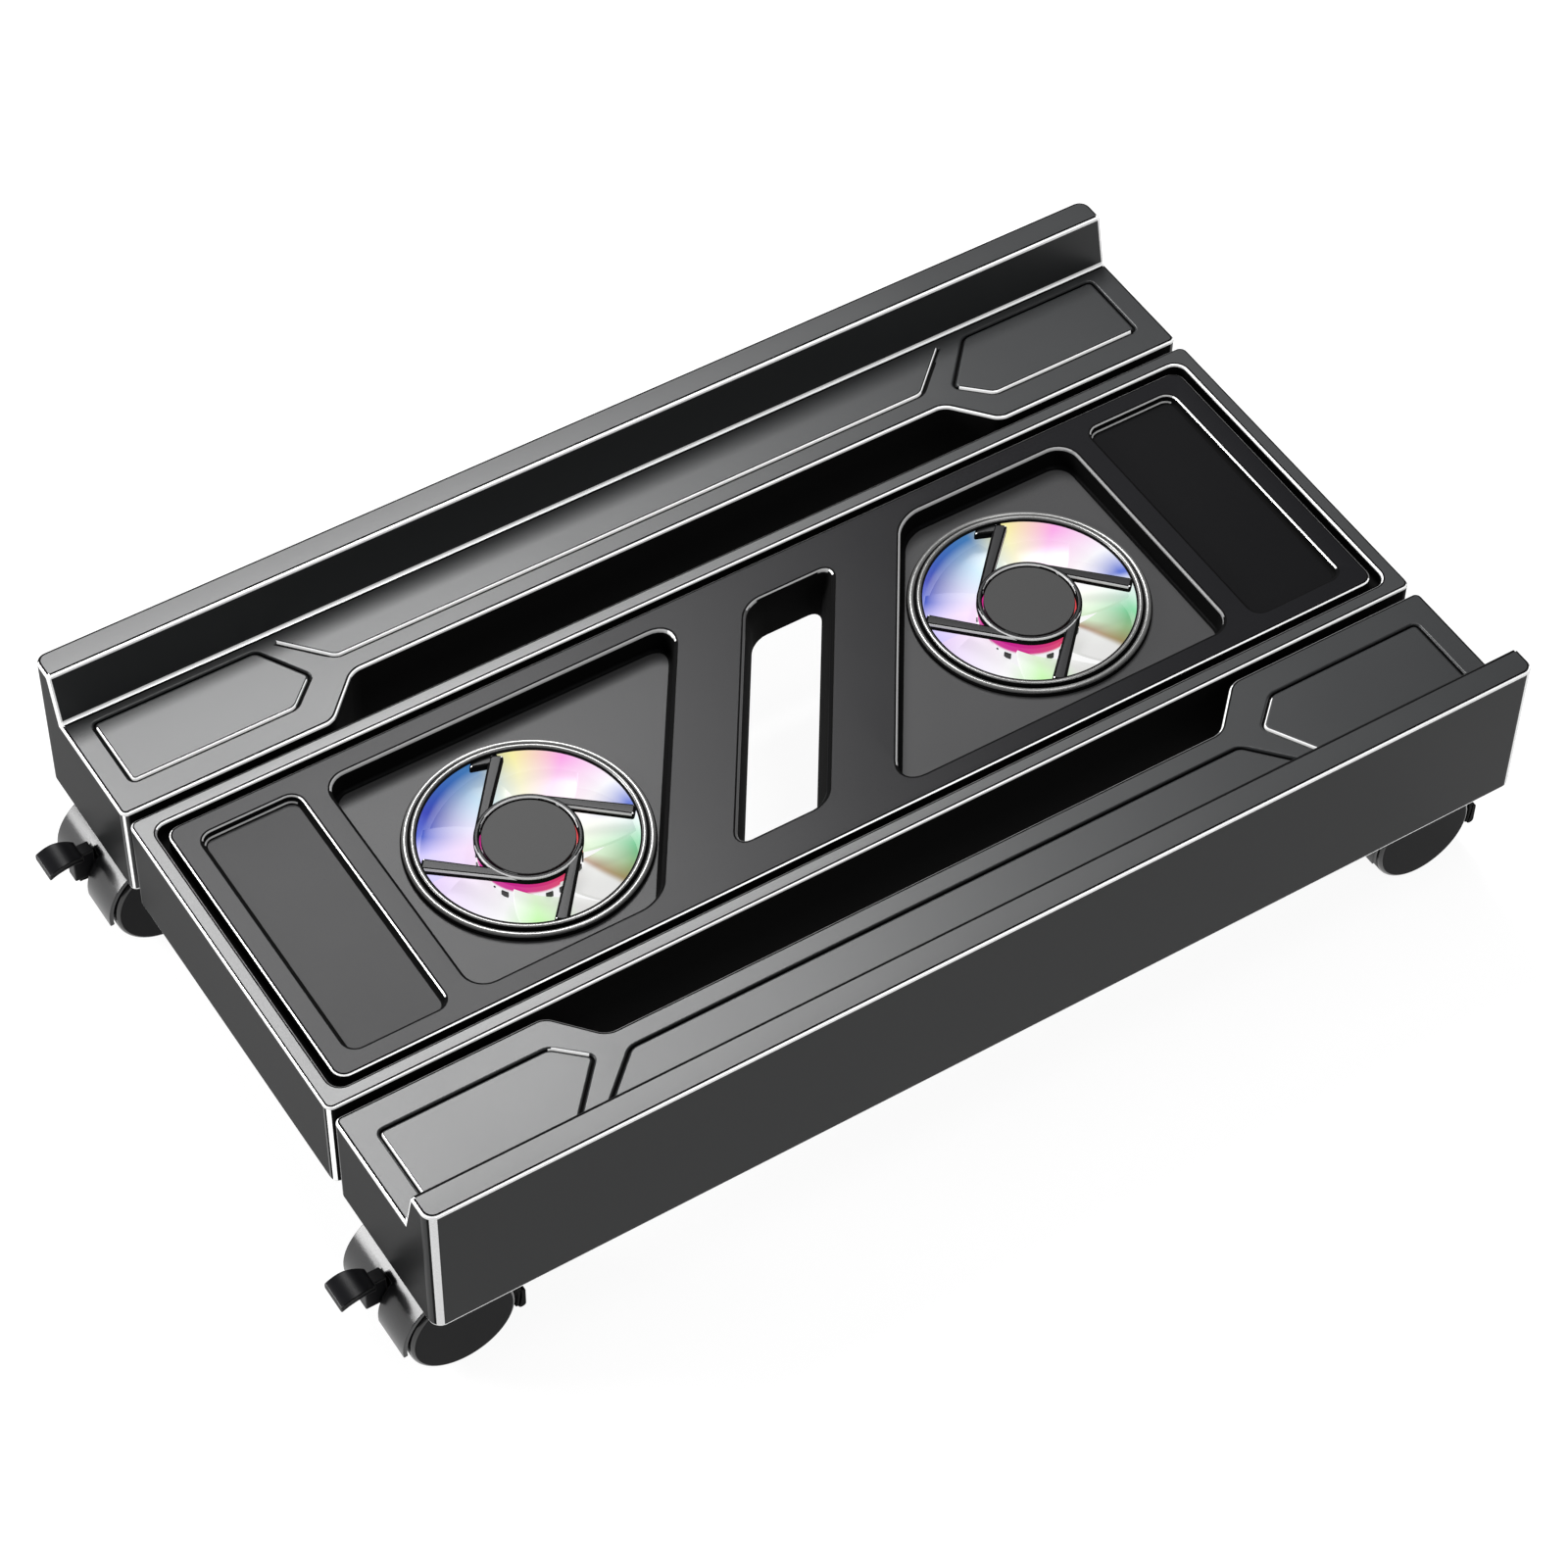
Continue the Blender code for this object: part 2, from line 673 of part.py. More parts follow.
def barb(angle):
    """Snap hook under the pocket floor."""
    radius = DUCT_RADIUS + DUCT_WALL
    top = -POCKET_DEPTH - WALL - SEAT
    reach = (radius - DUCT_WALL / 2, radius + BARB_REACH)
    block = box(reach, (-BARB_HEIGHT, BARB_HEIGHT), (top - BARB_HEIGHT, top))
    return placed(block, spin(angle))


def blade(angle):
    """Swept, pitched blade, thin along its chord and sunk into the hub at its root."""
    root = HUB_RADIUS - HUB_WALL / 2
    tip = DUCT_RADIUS - BLADE_TIP_GAP
    middle = HUB_BOTTOM + BLADE_HEIGHT / 2 + EDGE
    solid = bmesh.new()
    sections = []
    for span in range(BLADE_SPANS + 1):
        share = span / BLADE_SPANS
        radius = root + (tip - root) * share
        fill = BLADE_ROOT_SHARE + (BLADE_TIP_SHARE - BLADE_ROOT_SHARE) * share
        arc = math.tau / BLADE_COUNT * fill
        lean = angle + BLADE_SWEEP * share
        section = []
        for face in (1, -1):
            for station in BLADE_STATIONS[::face]:
                at = lean + arc * station
                bow = BLADE_HEIGHT * BLADE_BOW * (1 - 4 * station * station)
                height = middle - BLADE_HEIGHT * BLADE_FALL * station + bow + face * BLADE_THICKNESS / 2
                corner = (radius * math.cos(at), radius * math.sin(at), height)
                section.append(solid.verts.new(corner))
        sections.append(section)
    solid.faces.new(sections[0])
    solid.faces.new(reversed(sections[-1]))
    for inner, outer in zip(sections, sections[1:]):
        for index, corner in enumerate(inner):
            after = (index + 1) % len(inner)
            solid.faces.new((corner, outer[index], outer[after], inner[after]))
    return solid


def build_fan(deck, end, letter):
    """One fan: housing, impeller and the small motor between them."""
    fan = add_empty(f"fan_{letter}", deck, (end * FAN_X, 0.0, 0.0))
    housing = add_piece(f"fan_housing_{letter}", turned(bezel_profile(), FINE_SIDES), fan, GUNMETAL)
    combine(housing, "UNION", turned(motor_profile(), ROUND_SIDES))
    quarter = math.tau / STRUT_COUNT
    first = math.radians(STRUT_ANGLES[letter])
    struts = [strut(first + quarter * index) for index in range(STRUT_COUNT)]
    barbs = [barb(first + quarter * (index + 0.5)) for index in range(STRUT_COUNT)]
    combine(housing, "UNION", *struts, *barbs)

    floor = HUB_BOTTOM + HUB_WALL
    boss_top = MOTOR_BOTTOM - TUBE_LENGTH - EDGE
    hub = [
        (0.0, HUB_BOTTOM),
        (HUB_RADIUS, HUB_BOTTOM),
        (HUB_RADIUS, HUB_TOP),
        (HUB_RADIUS - HUB_WALL, HUB_TOP),
        (HUB_RADIUS - HUB_WALL, floor),
        (TUBE_BORE, floor),
        (TUBE_BORE, boss_top),
        (SHAFT_RADIUS + SEAT, boss_top),
        (SHAFT_RADIUS + SEAT, HUB_BOTTOM + EDGE),
        (0.0, HUB_BOTTOM + EDGE),
    ]
    impeller = add_piece(f"fan_impeller_{letter}", turned(hub, ROUND_SIDES), fan, CLEAR)
    blades = [blade(math.tau * index / BLADE_COUNT) for index in range(BLADE_COUNT)]
    combine(impeller, "UNION", *blades)
    shaft = rod(SHAFT_RADIUS, HUB_BOTTOM + EDGE + SEAT, MOTOR_BOTTOM - EDGE - SEAT, SMALL_SIDES)
    add_piece(f"fan_shaft_{letter}", shaft, fan, STEEL)
    rim = HUB_RADIUS - HUB_WALL - SEAT
    magnet = tube(rim - MAGNET_THICKNESS, rim, floor + SEAT, floor + SEAT + MAGNET_HEIGHT, ROUND_SIDES)
    add_piece(f"fan_magnet_{letter}", magnet, fan, FERRITE)

    sleeve_bottom = MOTOR_BOTTOM - TUBE_LENGTH + SEAT
    sleeve_top = MOTOR_BOTTOM - EDGE - SEAT
    sleeve = tube(SHAFT_RADIUS + SEAT, TUBE_BORE - SEAT, sleeve_bottom, sleeve_top, SMALL_SIDES)
    add_piece(f"fan_bearing_{letter}", sleeve, fan, BRONZE)
    board_bottom = MOTOR_BOTTOM - SEAT - BOARD_THICKNESS
    board = tube(TUBE_RADIUS + SEAT, BOARD_RADIUS, board_bottom, MOTOR_BOTTOM - SEAT, SMALL_SIDES)
    add_piece(f"fan_board_{letter}", board, fan, BOARD_GREEN)
    stator_top = board_bottom - SEAT
    stator = tube(TUBE_RADIUS + SEAT, STATOR_RADIUS, stator_top - STATOR_HEIGHT, stator_top, SMALL_SIDES)
    add_piece(f"fan_stator_{letter}", stator, fan, COPPER)


def rail_section(inner, bottom):
    """Cross-section of a rail: level top, then a lip whose inner face leans outward."""
    return [
        (inner, bottom),
        (RAIL_OUTER, bottom),
        (RAIL_OUTER, LIP_RISE),
        (RAIL_OUTER - LIP_CREST, LIP_RISE),
        (RAIL_OUTER - LIP_FOOT, 0.0),
        (inner, 0.0),
    ]


def rail_plan():
    """Plan of a rail, with the long relief in its inner edge."""
    half = LENGTH / 2
    relief = RAIL_INNER + RELIEF_DEPTH
    return [
        (-half, RAIL_INNER),
        (-RELIEF_MOUTH, RAIL_INNER),
        (-RELIEF_FLOOR, relief),
        (RELIEF_FLOOR, relief),
        (RELIEF_MOUTH, RAIL_INNER),
        (half, RAIL_INNER),
        (half, RAIL_OUTER),
        (-half, RAIL_OUTER),
    ]


def rail_bays():
    """Hollow bays between the cross ribs, as (start, end, inner wall) on the +X half."""
    relief = RAIL_INNER + RELIEF_DEPTH
    tongue_near = TONGUE_X - GUIDE_FACE - RIB - SEAT
    tongue_far = TONGUE_X + GUIDE_FACE + RIB + SEAT
    count = math.ceil(RELIEF_FLOOR / RIB_PITCH)
    marks = [(RELIEF_FLOOR * index / count, relief) for index in range(count + 1)]
    end_wall = LENGTH / 2 - WALL + RIB / 2
    marks += [(tongue_near, RAIL_INNER), (tongue_far, RAIL_INNER), (end_wall, RAIL_INNER)]
    bays = []
    for (start, inner), (end, _) in zip(marks, marks[1:]):
        bays.append((start + RIB / 2, end - RIB / 2, inner))
    return bays


def rail_lines():
    """Outlines of the three shallow panels lined out on a rail's top."""
    inner = RAIL_INNER + RELIEF_DEPTH + MID_LINE_INSET
    outer = RAIL_OUTER - LIP_FOOT - LINE_LIP_MARGIN
    far = MID_LINE_HALF + MID_LINE_SLANT
    middle = [(-MID_LINE_HALF, inner), (MID_LINE_HALF, inner), (far, outer), (-far, outer)]
    end = LENGTH / 2 - LINE_END_MARGIN
    shoulder = RAIL_INNER + LINE_INNER_MARGIN
    panel = [
        (RELIEF_FLOOR + PANEL_LINE_SPACING * 2, shoulder),
        (end, shoulder),
        (end, outer),
        (far + PANEL_LINE_SPACING, outer),
        (MID_LINE_HALF + PANEL_LINE_SPACING * 1.2, inner - LINE_CORNER),
    ]
    return [middle, panel, flipped(panel)]


def build_rail(deck, name, angle):
    """One lip rail with its tongues and caster sockets; drawn on +Y and turned into place."""
    frame = add_empty(f"rail_{name}_frame", deck, (0.0, 0.0, 0.0), angle)
    over = RAIL_WIDTH
    section = [
        (RAIL_INNER - over, -SKIRT_DEPTH - over),
        (RAIL_OUTER + over, -SKIRT_DEPTH - over),
        (RAIL_OUTER + over, LIP_RISE),
        *rail_section(RAIL_INNER - over, 0.0)[3:],
    ]
    length = LENGTH / 2 + over
    body = placed(loft(section, 0.0, [(-length, 0.0), (length, 0.0)]), ALONG_X)
    rail = add_piece(f"rail_{name}", body, frame, GUNMETAL)
    plan = loft(rail_plan(), RAIL_CORNER, [(-SKIRT_DEPTH, 0.0), (LIP_RISE + over, 0.0)])
    combine(rail, "INTERSECT", plan)
    round_edges(rail, EDGE)

    hollows = []
    for start, end, inner in rail_bays():
        bay = outline(rail_section(inner, -SKIRT_DEPTH - 2 * WALL), 0.0, -WALL)
        hollows.append(placed(loft(bay, 0.0, [(start, 0.0), (end, 0.0)]), ALONG_X))
        hollows.append(placed(loft(bay, 0.0, [(-end, 0.0), (-start, 0.0)]), ALONG_X))
    combine(rail, "DIFFERENCE", *hollows)

    boss_foot = SOCKET_FOOT + SOCKET_FLANGE + SEAT + WHEEL_RADIUS - DECK_HEIGHT
    socket_top = SOCKET_FOOT + STEM_REACH + SEAT + WHEEL_RADIUS - DECK_HEIGHT
    boss_root = -WALL / 2
    tongue_seat = -TONGUE_DROP + SEAT
    bosses = []
    cuts = []
    for end in (-1, 1):
        at_caster = shift(end * CASTER_X, CASTER_Y)
        bosses.append(placed(rod(CASTER_BOSS_RADIUS, boss_foot, boss_root, ROUND_SIDES), at_caster))
        bore = rod(SOCKET_RADIUS + SEAT, boss_foot - WALL, socket_top + SEAT, SMALL_SIDES)
        cuts.append(placed(bore, at_caster))
        at_screw = shift(end * TONGUE_X, TONGUE_SCREW_Y)
        bosses.append(placed(rod(TONGUE_BOSS_RADIUS, tongue_seat, boss_root, SMALL_SIDES), at_screw))
        pilot = rod(SCREW_RADIUS + SEAT, tongue_seat - SEAT, -2 * WALL, SCREW_SIDES)
        cuts.append(placed(pilot, at_screw))
        across = (end * TONGUE_X - GUIDE_FACE, end * TONGUE_X + GUIDE_FACE)
        through = (RAIL_INNER - WALL, RAIL_INNER + 1.5 * WALL)
        cuts.append(box(across, through, (TONGUE_BOTTOM - SEAT, tongue_seat)))
    combine(rail, "UNION", *bosses)
    lines = [ring_prism(line, LINE_CORNER, LINE_WIDTH / 2, -LINE_DEPTH, WALL) for line in rail_lines()]
    combine(rail, "DIFFERENCE", *cuts, *lines)

    for end in (-1, 1):
        letter = "a" if end * math.cos(angle) < 0 else "b"
        build_tongue(frame, f"{name}_{letter}", end * TONGUE_X)
        place = (end * CASTER_X, CASTER_Y, WHEEL_RADIUS - DECK_HEIGHT)
        build_caster(frame, f"{name}_{letter}", place, -angle, letter == "a")


def build_tongue(frame, name, x):
    """Flat slide with a shoulder in the gap, a stop wedge that ends its travel and its screw."""
    half = TONGUE_WIDTH / 2
    wide = half + TONGUE_SHOULDER
    tip = TONGUE_TIP_GAP / 2
    near = DECK_WIDTH / 2 + SEAT
    far = RAIL_INNER - SEAT
    plan = [
        (-half, tip),
        (half, tip),
        (half, near),
        (wide, near),
        (wide, far),
        (half, far),
        (half, TONGUE_END),
        (-half, TONGUE_END),
        (-half, far),
        (-wide, far),
        (-wide, near),
        (-half, near),
    ]
    blank = loft(plan, 0.0, [(TONGUE_BOTTOM, 0.0), (-TONGUE_DROP, 0.0)])
    tongue = add_piece(f"slide_tongue_{name}", placed(blank, shift(x)), frame, HARD_BLACK)
    stop = DECK_WIDTH / 2 - WALL - SEAT - TRAVEL
    wedge = [
        (stop, -TONGUE_DROP + STOP_HEIGHT),
        (stop - STOP_LENGTH, -TONGUE_DROP),
        (stop - STOP_LENGTH, -TONGUE_DROP - EDGE),
        (stop, -TONGUE_DROP - EDGE),
    ]
    width = [(x - STOP_WIDTH / 2, 0.0), (x + STOP_WIDTH / 2, 0.0)]
    combine(tongue, "UNION", placed(loft(wedge, 0.0, width), ALONG_X))
    hole = rod(SCREW_RADIUS + SEAT, TONGUE_BOTTOM - WALL, -TONGUE_DROP + WALL, SCREW_SIDES)
    combine(tongue, "DIFFERENCE", placed(hole, shift(x, TONGUE_SCREW_Y)))
    fastener = screw(TONGUE_BOTTOM, -2 * WALL - SEAT)
    add_piece(f"tongue_screw_{name}", placed(fastener, shift(x, TONGUE_SCREW_Y)), frame, STEEL)


def arc(radius, first, last, steps, centre=(0.0, 0.0)):
    """Points along a circle, from one angle to another."""
    angles = [first + (last - first) * step / steps for step in range(steps + 1)]
    return [(centre[0] + radius * math.cos(a), centre[1] + radius * math.sin(a)) for a in angles]


def lever_line(share):
    """Arched middle line of the brake lever, from its pivot out to the pedal's tip."""
    rise = PEDAL_RISE * share + 4 * PEDAL_ARCH * share * (1 - share)
    return LEVER_PIVOT + Vector((-PEDAL_REACH * share, rise))


def lever_strip(first, last, thickness):
    """Outline of a stretch of the lever, half the thickness to each side of its line."""
    steps = 5
    shares = [first + (last - first) * step / steps for step in range(steps + 1)]
    half = Vector((0.0, thickness / 2))
    upper = [lever_line(share) + half for share in shares]
    lower = [lever_line(share) - half for share in reversed(shares)]
    return [tuple(point) for point in upper + lower]


def crosswise(corners, half_width, taper=0.0):
    """Solid from an outline in the caster's XZ plane, run along its axle."""
    levels = [(-half_width, 0.0), (half_width, 0.0)]
    if taper:
        levels = [
            (-half_width, -taper),
            (-half_width + taper, 0.0),
            (half_width - taper, 0.0),
            (half_width, -taper),
        ]
    return placed(loft(corners, 0.0, levels), shift(-TRAIL), UPRIGHT)


def build_hood(swivel, name, braked):
    """Half-barrel hood over the wheels, with the web that holds axle, stem and lever."""
    inner = HOOD_RADIUS - HOOD_SHELL
    shell = arc(HOOD_RADIUS, HOOD_REAR, HOOD_FRONT, HOOD_STEPS)
    shell += arc(inner, HOOD_FRONT, HOOD_REAR, HOOD_STEPS)
    barrel = crosswise(shell, HOOD_LENGTH / 2, HOOD_SHELL / 4)
    hood = add_piece(f"caster_hood_{name}", barrel, swivel, GLOSS_BLACK)
    web = arc(HOOD_RADIUS - HOOD_SHELL / 2, HOOD_REAR, HOOD_FRONT, HOOD_STEPS)
    web += arc(AXLE_BOSS, WEB_FRONT, WEB_REAR, ARC_STEPS + 2)
    combine(hood, "UNION", crosswise(web, WHEEL_SPACING / 2 - WEB_GAP))
    bore = rod(AXLE_RADIUS + SEAT, -WHEEL_SPACING, WHEEL_SPACING, SMALL_SIDES)
    cuts = [placed(bore, shift(-TRAIL), UPRIGHT)]
    stem = [
        (0.0, SEAT_FACE - STEM_BITE),
        (STEM_RADIUS + SEAT, SEAT_FACE - STEM_BITE),
        (STEM_RADIUS + SEAT, SEAT_FACE),
        (STEM_COLLAR + EDGE, SEAT_FACE),
        (STEM_COLLAR + EDGE, HOOD_RADIUS + WALL),
        (0.0, HOOD_RADIUS + WALL),
    ]
    cuts.append(turned(stem, SMALL_SIDES))
    if braked:
        cuts.append(crosswise(lever_slot(), LEVER_ROOT_WIDTH / 2 + SEAT))
    combine(hood, "DIFFERENCE", *cuts)


def lever_slot():
    """Cradle round the lever's knuckle and the slot that its arm sweeps through the hood."""
    gap = 2 * SEAT
    clear = LEVER_THICKNESS / 2 + gap
    upper = [lever_line(share) + Vector((0.0, clear)) for share in reversed(SLOT_SHARES)]
    turn = Matrix.Rotation(LEVER_TRAVEL, 2)
    lower = []
    for share in SLOT_SHARES[1:]:
        arm = lever_line(share) - LEVER_PIVOT - Vector((0.0, LEVER_THICKNESS / 2))
        lower.append(LEVER_PIVOT + turn @ arm - Vector((0.0, gap)))
    back = lower[0] - LEVER_PIVOT
    front = upper[-1] - LEVER_PIVOT
    first = math.atan2(front.y, front.x)
    last = math.atan2(back.y, back.x) % math.tau - math.tau
    cradle = arc(LEVER_KNUCKLE + SEAT, first, last, SMALL_SIDES - 1, LEVER_PIVOT)
    path = [tuple(point) for point in upper] + cradle + [tuple(point) for point in lower]
    return list(reversed(path))


def build_lever(swivel, name):
    """Brake lever: a knuckle in the hood's cradle and an arched pedal outside it."""
    axis = (LEVER_PIVOT.x - TRAIL, 0.0, LEVER_PIVOT.y)
    pivot = add_empty(f"lever_axis_{name}", swivel, axis)
    home = shift(*(-value for value in axis))
    half = LEVER_ROOT_WIDTH / 2
    root = crosswise(lever_strip(0.0, ROOT_END, LEVER_THICKNESS), half)
    lever = add_piece(f"brake_lever_{name}", placed(root, home), pivot, GLOSS_BLACK)
    knuckle = rod(LEVER_KNUCKLE, -half + SEAT, half - SEAT, SMALL_SIDES)
    combine(lever, "UNION", placed(knuckle, UPRIGHT))
    pedal = crosswise(lever_strip(PEDAL_START, 1.0, LEVER_THICKNESS + EDGE / 2), PEDAL_WIDTH / 2, EDGE)
    combine(lever, "UNION", placed(pedal, home))


def wheel_profile():
    """Wheel with a rounded tread edge and a blind bore, drawn from its inner face outward."""
    face = WHEEL_WIDTH
    bore = AXLE_RADIUS + SEAT
    return [
        (bore, 0.0),
        (WHEEL_RADIUS - EDGE, 0.0),
        (WHEEL_RADIUS, EDGE),
        (WHEEL_RADIUS, face - WHEEL_ROUND),
        (WHEEL_RADIUS - WHEEL_ROUND, face),
        (0.0, face),
        (0.0, face - WHEEL_FACE),
        (bore, face - WHEEL_FACE),
    ]


def build_caster(frame, name, place, angle, braked):
    """Swivelling twin-wheel caster whose stem turns in a sleeve pressed into the rail."""
    swivel = add_empty(f"swivel_{name}", frame, place, angle)
    foot = SOCKET_FOOT
    socket = [
        (STEM_RADIUS + SEAT, foot),
        (SOCKET_FLANGE_RADIUS, foot),
        (SOCKET_FLANGE_RADIUS, foot + SOCKET_FLANGE),
        (SOCKET_RADIUS, foot + SOCKET_FLANGE),
        (SOCKET_RADIUS, foot + STEM_REACH + SEAT),
        (STEM_RADIUS + SEAT, foot + STEM_REACH + SEAT),
    ]
    add_piece(f"caster_socket_{name}", turned(socket, SMALL_SIDES), swivel, HARD_BLACK)
    build_hood(swivel, name, braked)
    stem = [
        (0.0, SEAT_FACE - STEM_BITE + SEAT),
        (STEM_RADIUS, SEAT_FACE - STEM_BITE + SEAT),
        (STEM_RADIUS, SEAT_FACE + SEAT),
        (STEM_COLLAR, SEAT_FACE + SEAT),
        (STEM_COLLAR, foot - SEAT),
        (STEM_RADIUS, foot - SEAT),
        (STEM_RADIUS, foot + STEM_REACH - STEM_RADIUS / 2),
        (0.0, foot + STEM_REACH),
    ]
    add_piece(f"caster_stem_{name}", turned(stem, SMALL_SIDES), swivel, STEEL)
    axle_axis = add_empty(f"axle_axis_{name}", swivel, (-TRAIL, 0.0, 0.0))
    half = WHEEL_SPACING / 2 + WHEEL_WIDTH - WHEEL_FACE - SEAT
    axle = rod(AXLE_RADIUS, -half, half, SMALL_SIDES)
    add_piece(f"caster_axle_{name}", placed(axle, UPRIGHT), axle_axis, STEEL)
    for side, turn in (("left", math.pi / 2), ("right", -math.pi / 2)):
        wheel = turned(wheel_profile(), WHEEL_SIDES)
        wheel = placed(wheel, spin(turn, "X"), shift(z=WHEEL_SPACING / 2))
        add_piece(f"caster_wheel_{name}_{side}", wheel, axle_axis, WHEEL_BLACK)
    if braked:
        build_lever(swivel, name)


for leftover in list(bpy.data.objects):
    bpy.data.objects.remove(leftover, do_unlink=True)

GUNMETAL = finish("gunmetal_plastic", (0.085, 0.088, 0.092), 0.38, 0.25)
PANEL_BLACK = finish("panel_plastic", (0.035, 0.036, 0.038), 0.42, 0.15)
HARD_BLACK = finish("black_nylon", (0.015, 0.015, 0.016), 0.5)
GLOSS_BLACK = finish("gloss_black_nylon", (0.012, 0.012, 0.013), 0.18)
WHEEL_BLACK = finish("wheel_black", (0.022, 0.022, 0.024), 0.45)
CLEAR = finish("clear_acrylic", (0.86, 0.90, 0.98), 0.08, 0.0, 0.55)
STEEL = finish("zinc_steel", (0.62, 0.63, 0.65), 0.3, 1.0)
BRONZE = finish("sintered_bronze", (0.55, 0.36, 0.16), 0.4, 1.0)
FERRITE = finish("ferrite", (0.05, 0.05, 0.052), 0.7)
COPPER = finish("copper_winding", (0.62, 0.27, 0.12), 0.35, 1.0)
BOARD_GREEN = finish("board_green", (0.03, 0.22, 0.09), 0.5)

# The pedals reach past the body at one end, so the deck is set off to keep the stand centred.
PEDAL_TIP = CASTER_X + TRAIL - lever_line(1.0).x
INLET_TIP = LENGTH / 2 + SEAT + INLET_FLANGE
DECK = add_empty("deck", None, ((PEDAL_TIP - INLET_TIP) / 2, 0.0, DECK_HEIGHT))
build_deck_frame(DECK)
build_deck_panel(DECK)
build_panel_screws(DECK)
build_inlet(DECK)
build_fan(DECK, -1, "a")
build_fan(DECK, 1, "b")
build_rail(DECK, "front", math.pi)
build_rail(DECK, "back", 0.0)
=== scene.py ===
import math
from contextlib import contextmanager

import bmesh
import bpy
from mathutils import Matrix, Vector


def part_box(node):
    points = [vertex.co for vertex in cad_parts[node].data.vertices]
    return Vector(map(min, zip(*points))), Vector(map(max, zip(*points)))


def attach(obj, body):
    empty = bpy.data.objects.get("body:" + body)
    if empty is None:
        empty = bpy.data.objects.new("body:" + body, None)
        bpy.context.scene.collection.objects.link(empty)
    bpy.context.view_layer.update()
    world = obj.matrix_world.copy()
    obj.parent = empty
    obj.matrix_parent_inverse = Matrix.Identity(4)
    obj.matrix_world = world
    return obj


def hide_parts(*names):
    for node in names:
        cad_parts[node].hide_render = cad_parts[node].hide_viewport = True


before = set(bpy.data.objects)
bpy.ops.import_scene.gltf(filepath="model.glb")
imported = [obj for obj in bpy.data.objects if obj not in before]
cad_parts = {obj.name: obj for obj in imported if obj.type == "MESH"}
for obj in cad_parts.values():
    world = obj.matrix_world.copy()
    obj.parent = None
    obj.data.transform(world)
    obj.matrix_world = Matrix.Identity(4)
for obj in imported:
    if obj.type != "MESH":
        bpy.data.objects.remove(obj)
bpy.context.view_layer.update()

# The studio: a plain white sweep under soft lamps.
# The floor glows a little, as an evenly lit sweep does, so that it stays pale under the deck.
deck_low, deck_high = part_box("deck_frame")
DECK = Vector(((deck_low.x + deck_high.x) / 2, 0.0, deck_high.z))
floor_size, floor_drop = 9.0, 0.0001

bpy.ops.object.select_all(action="DESELECT")
bpy.ops.mesh.primitive_plane_add(size=floor_size, location=(0.0, 0.0, -floor_drop))
floor = bpy.context.object
floor.name = "studio_floor"
sweep = bpy.data.materials.new("white_sweep")
sweep.use_nodes = True
paper = sweep.node_tree.nodes["Principled BSDF"]
for socket, value in (
    ("Base Color", (0.14, 0.14, 0.14, 1.0)),
    ("Roughness", 0.9),
    ("Emission Color", (1.0, 1.0, 1.0, 1.0)),
    ("Emission Strength", 0.93),
):
    paper.inputs[socket].default_value = value
floor.data.materials.append(sweep)

room = bpy.data.worlds.new("studio_room")
room.use_nodes = True
air = room.node_tree.nodes["Background"]
air.inputs["Color"].default_value = (0.96, 0.98, 1.0, 1.0)
air.inputs["Strength"].default_value = 0.10
bpy.context.scene.world = room
bpy.context.scene.view_settings.view_transform = "Standard"

lamps = (  # name, place, width, depth, watts
    ("back_lamp", (0.20, 0.96, 1.55), 0.80, 0.70, 47.0),
    ("overhead_lamp", (0.45, -0.10, 1.75), 1.2, 0.28, 9.0),
    ("end_lamp", (-1.40, 0.80, 0.55), 0.5, 0.7, 24.0),
    ("front_lamp", (0.25, -1.70, 0.95), 1.4, 0.5, 6.0),
)
for name, place, width, depth, power in lamps:
    bpy.ops.object.light_add(type="AREA", location=place)
    lamp = bpy.context.object
    lamp.name = name
    lamp.data.shape = "RECTANGLE"
    lamp.data.size = width
    lamp.data.size_y = depth
    lamp.data.energy = power
    lamp.rotation_euler = (DECK - Vector(place)).to_track_quat("-Z", "Y").to_euler()

eye_from_deck = Vector((-0.58151, -0.88644, 1.23283))
bearing, look_down, roll = -33.284, 50.325, 1.332
bpy.ops.object.camera_add(location=DECK + eye_from_deck)
camera = bpy.context.object
camera.name = "photo_camera"
camera.data.sensor_width = 36.0
camera.data.lens = 107.04
aim = Matrix.Identity(3)
for degrees, axis in ((bearing, "Z"), (90.0 - look_down, "X"), (roll, "Z")):
    aim = aim @ Matrix.Rotation(math.radians(degrees), 3, axis)
camera.rotation_euler = aim.to_euler()
bpy.context.scene.camera = camera


# Deck frame: the rim and skirt of the centre deck, one hollow moulding in dark satin plastic.
# A ledge inside the rim carries the panel, and C-shaped guides below it hold the rails' tongues.
TINY = 1e-5  # what counts as the same place, in metres
MOSTLY = 0.9  # the share of a normal or of an edge's run that counts as lying along an axis
PAINTED_SHADE, PAINTED_HIGHLIGHT = -1.0, 1.0  # the marks of a face: painted shade in flat black, or a painted highlight
SMOOTH = math.radians(40.0)  # edges that turn by less are shaded smooth


def measured(node):
    """A CAD piece's low and high corners from the deck's own zero, to a hundredth of a millimetre."""
    return [[round(value - zero, 5) for value, zero in zip(corner, DECK)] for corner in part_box(node)]


def middle_of(node):
    """The middle of a CAD piece's box from the deck's own zero."""
    return [round((a + b) / 2, 5) for a, b in zip(*measured(node))]


def alone(piece=None):
    """Leaves one piece selected, or nothing."""
    bpy.ops.object.select_all(action="DESELECT")
    if piece:
        piece.select_set(True)
        bpy.context.view_layer.objects.active = piece


def fixed():
    """Applies the place, turn and size of the piece in hand."""
    bpy.ops.object.transform_apply(location=True, rotation=True, scale=True)
    return bpy.context.object


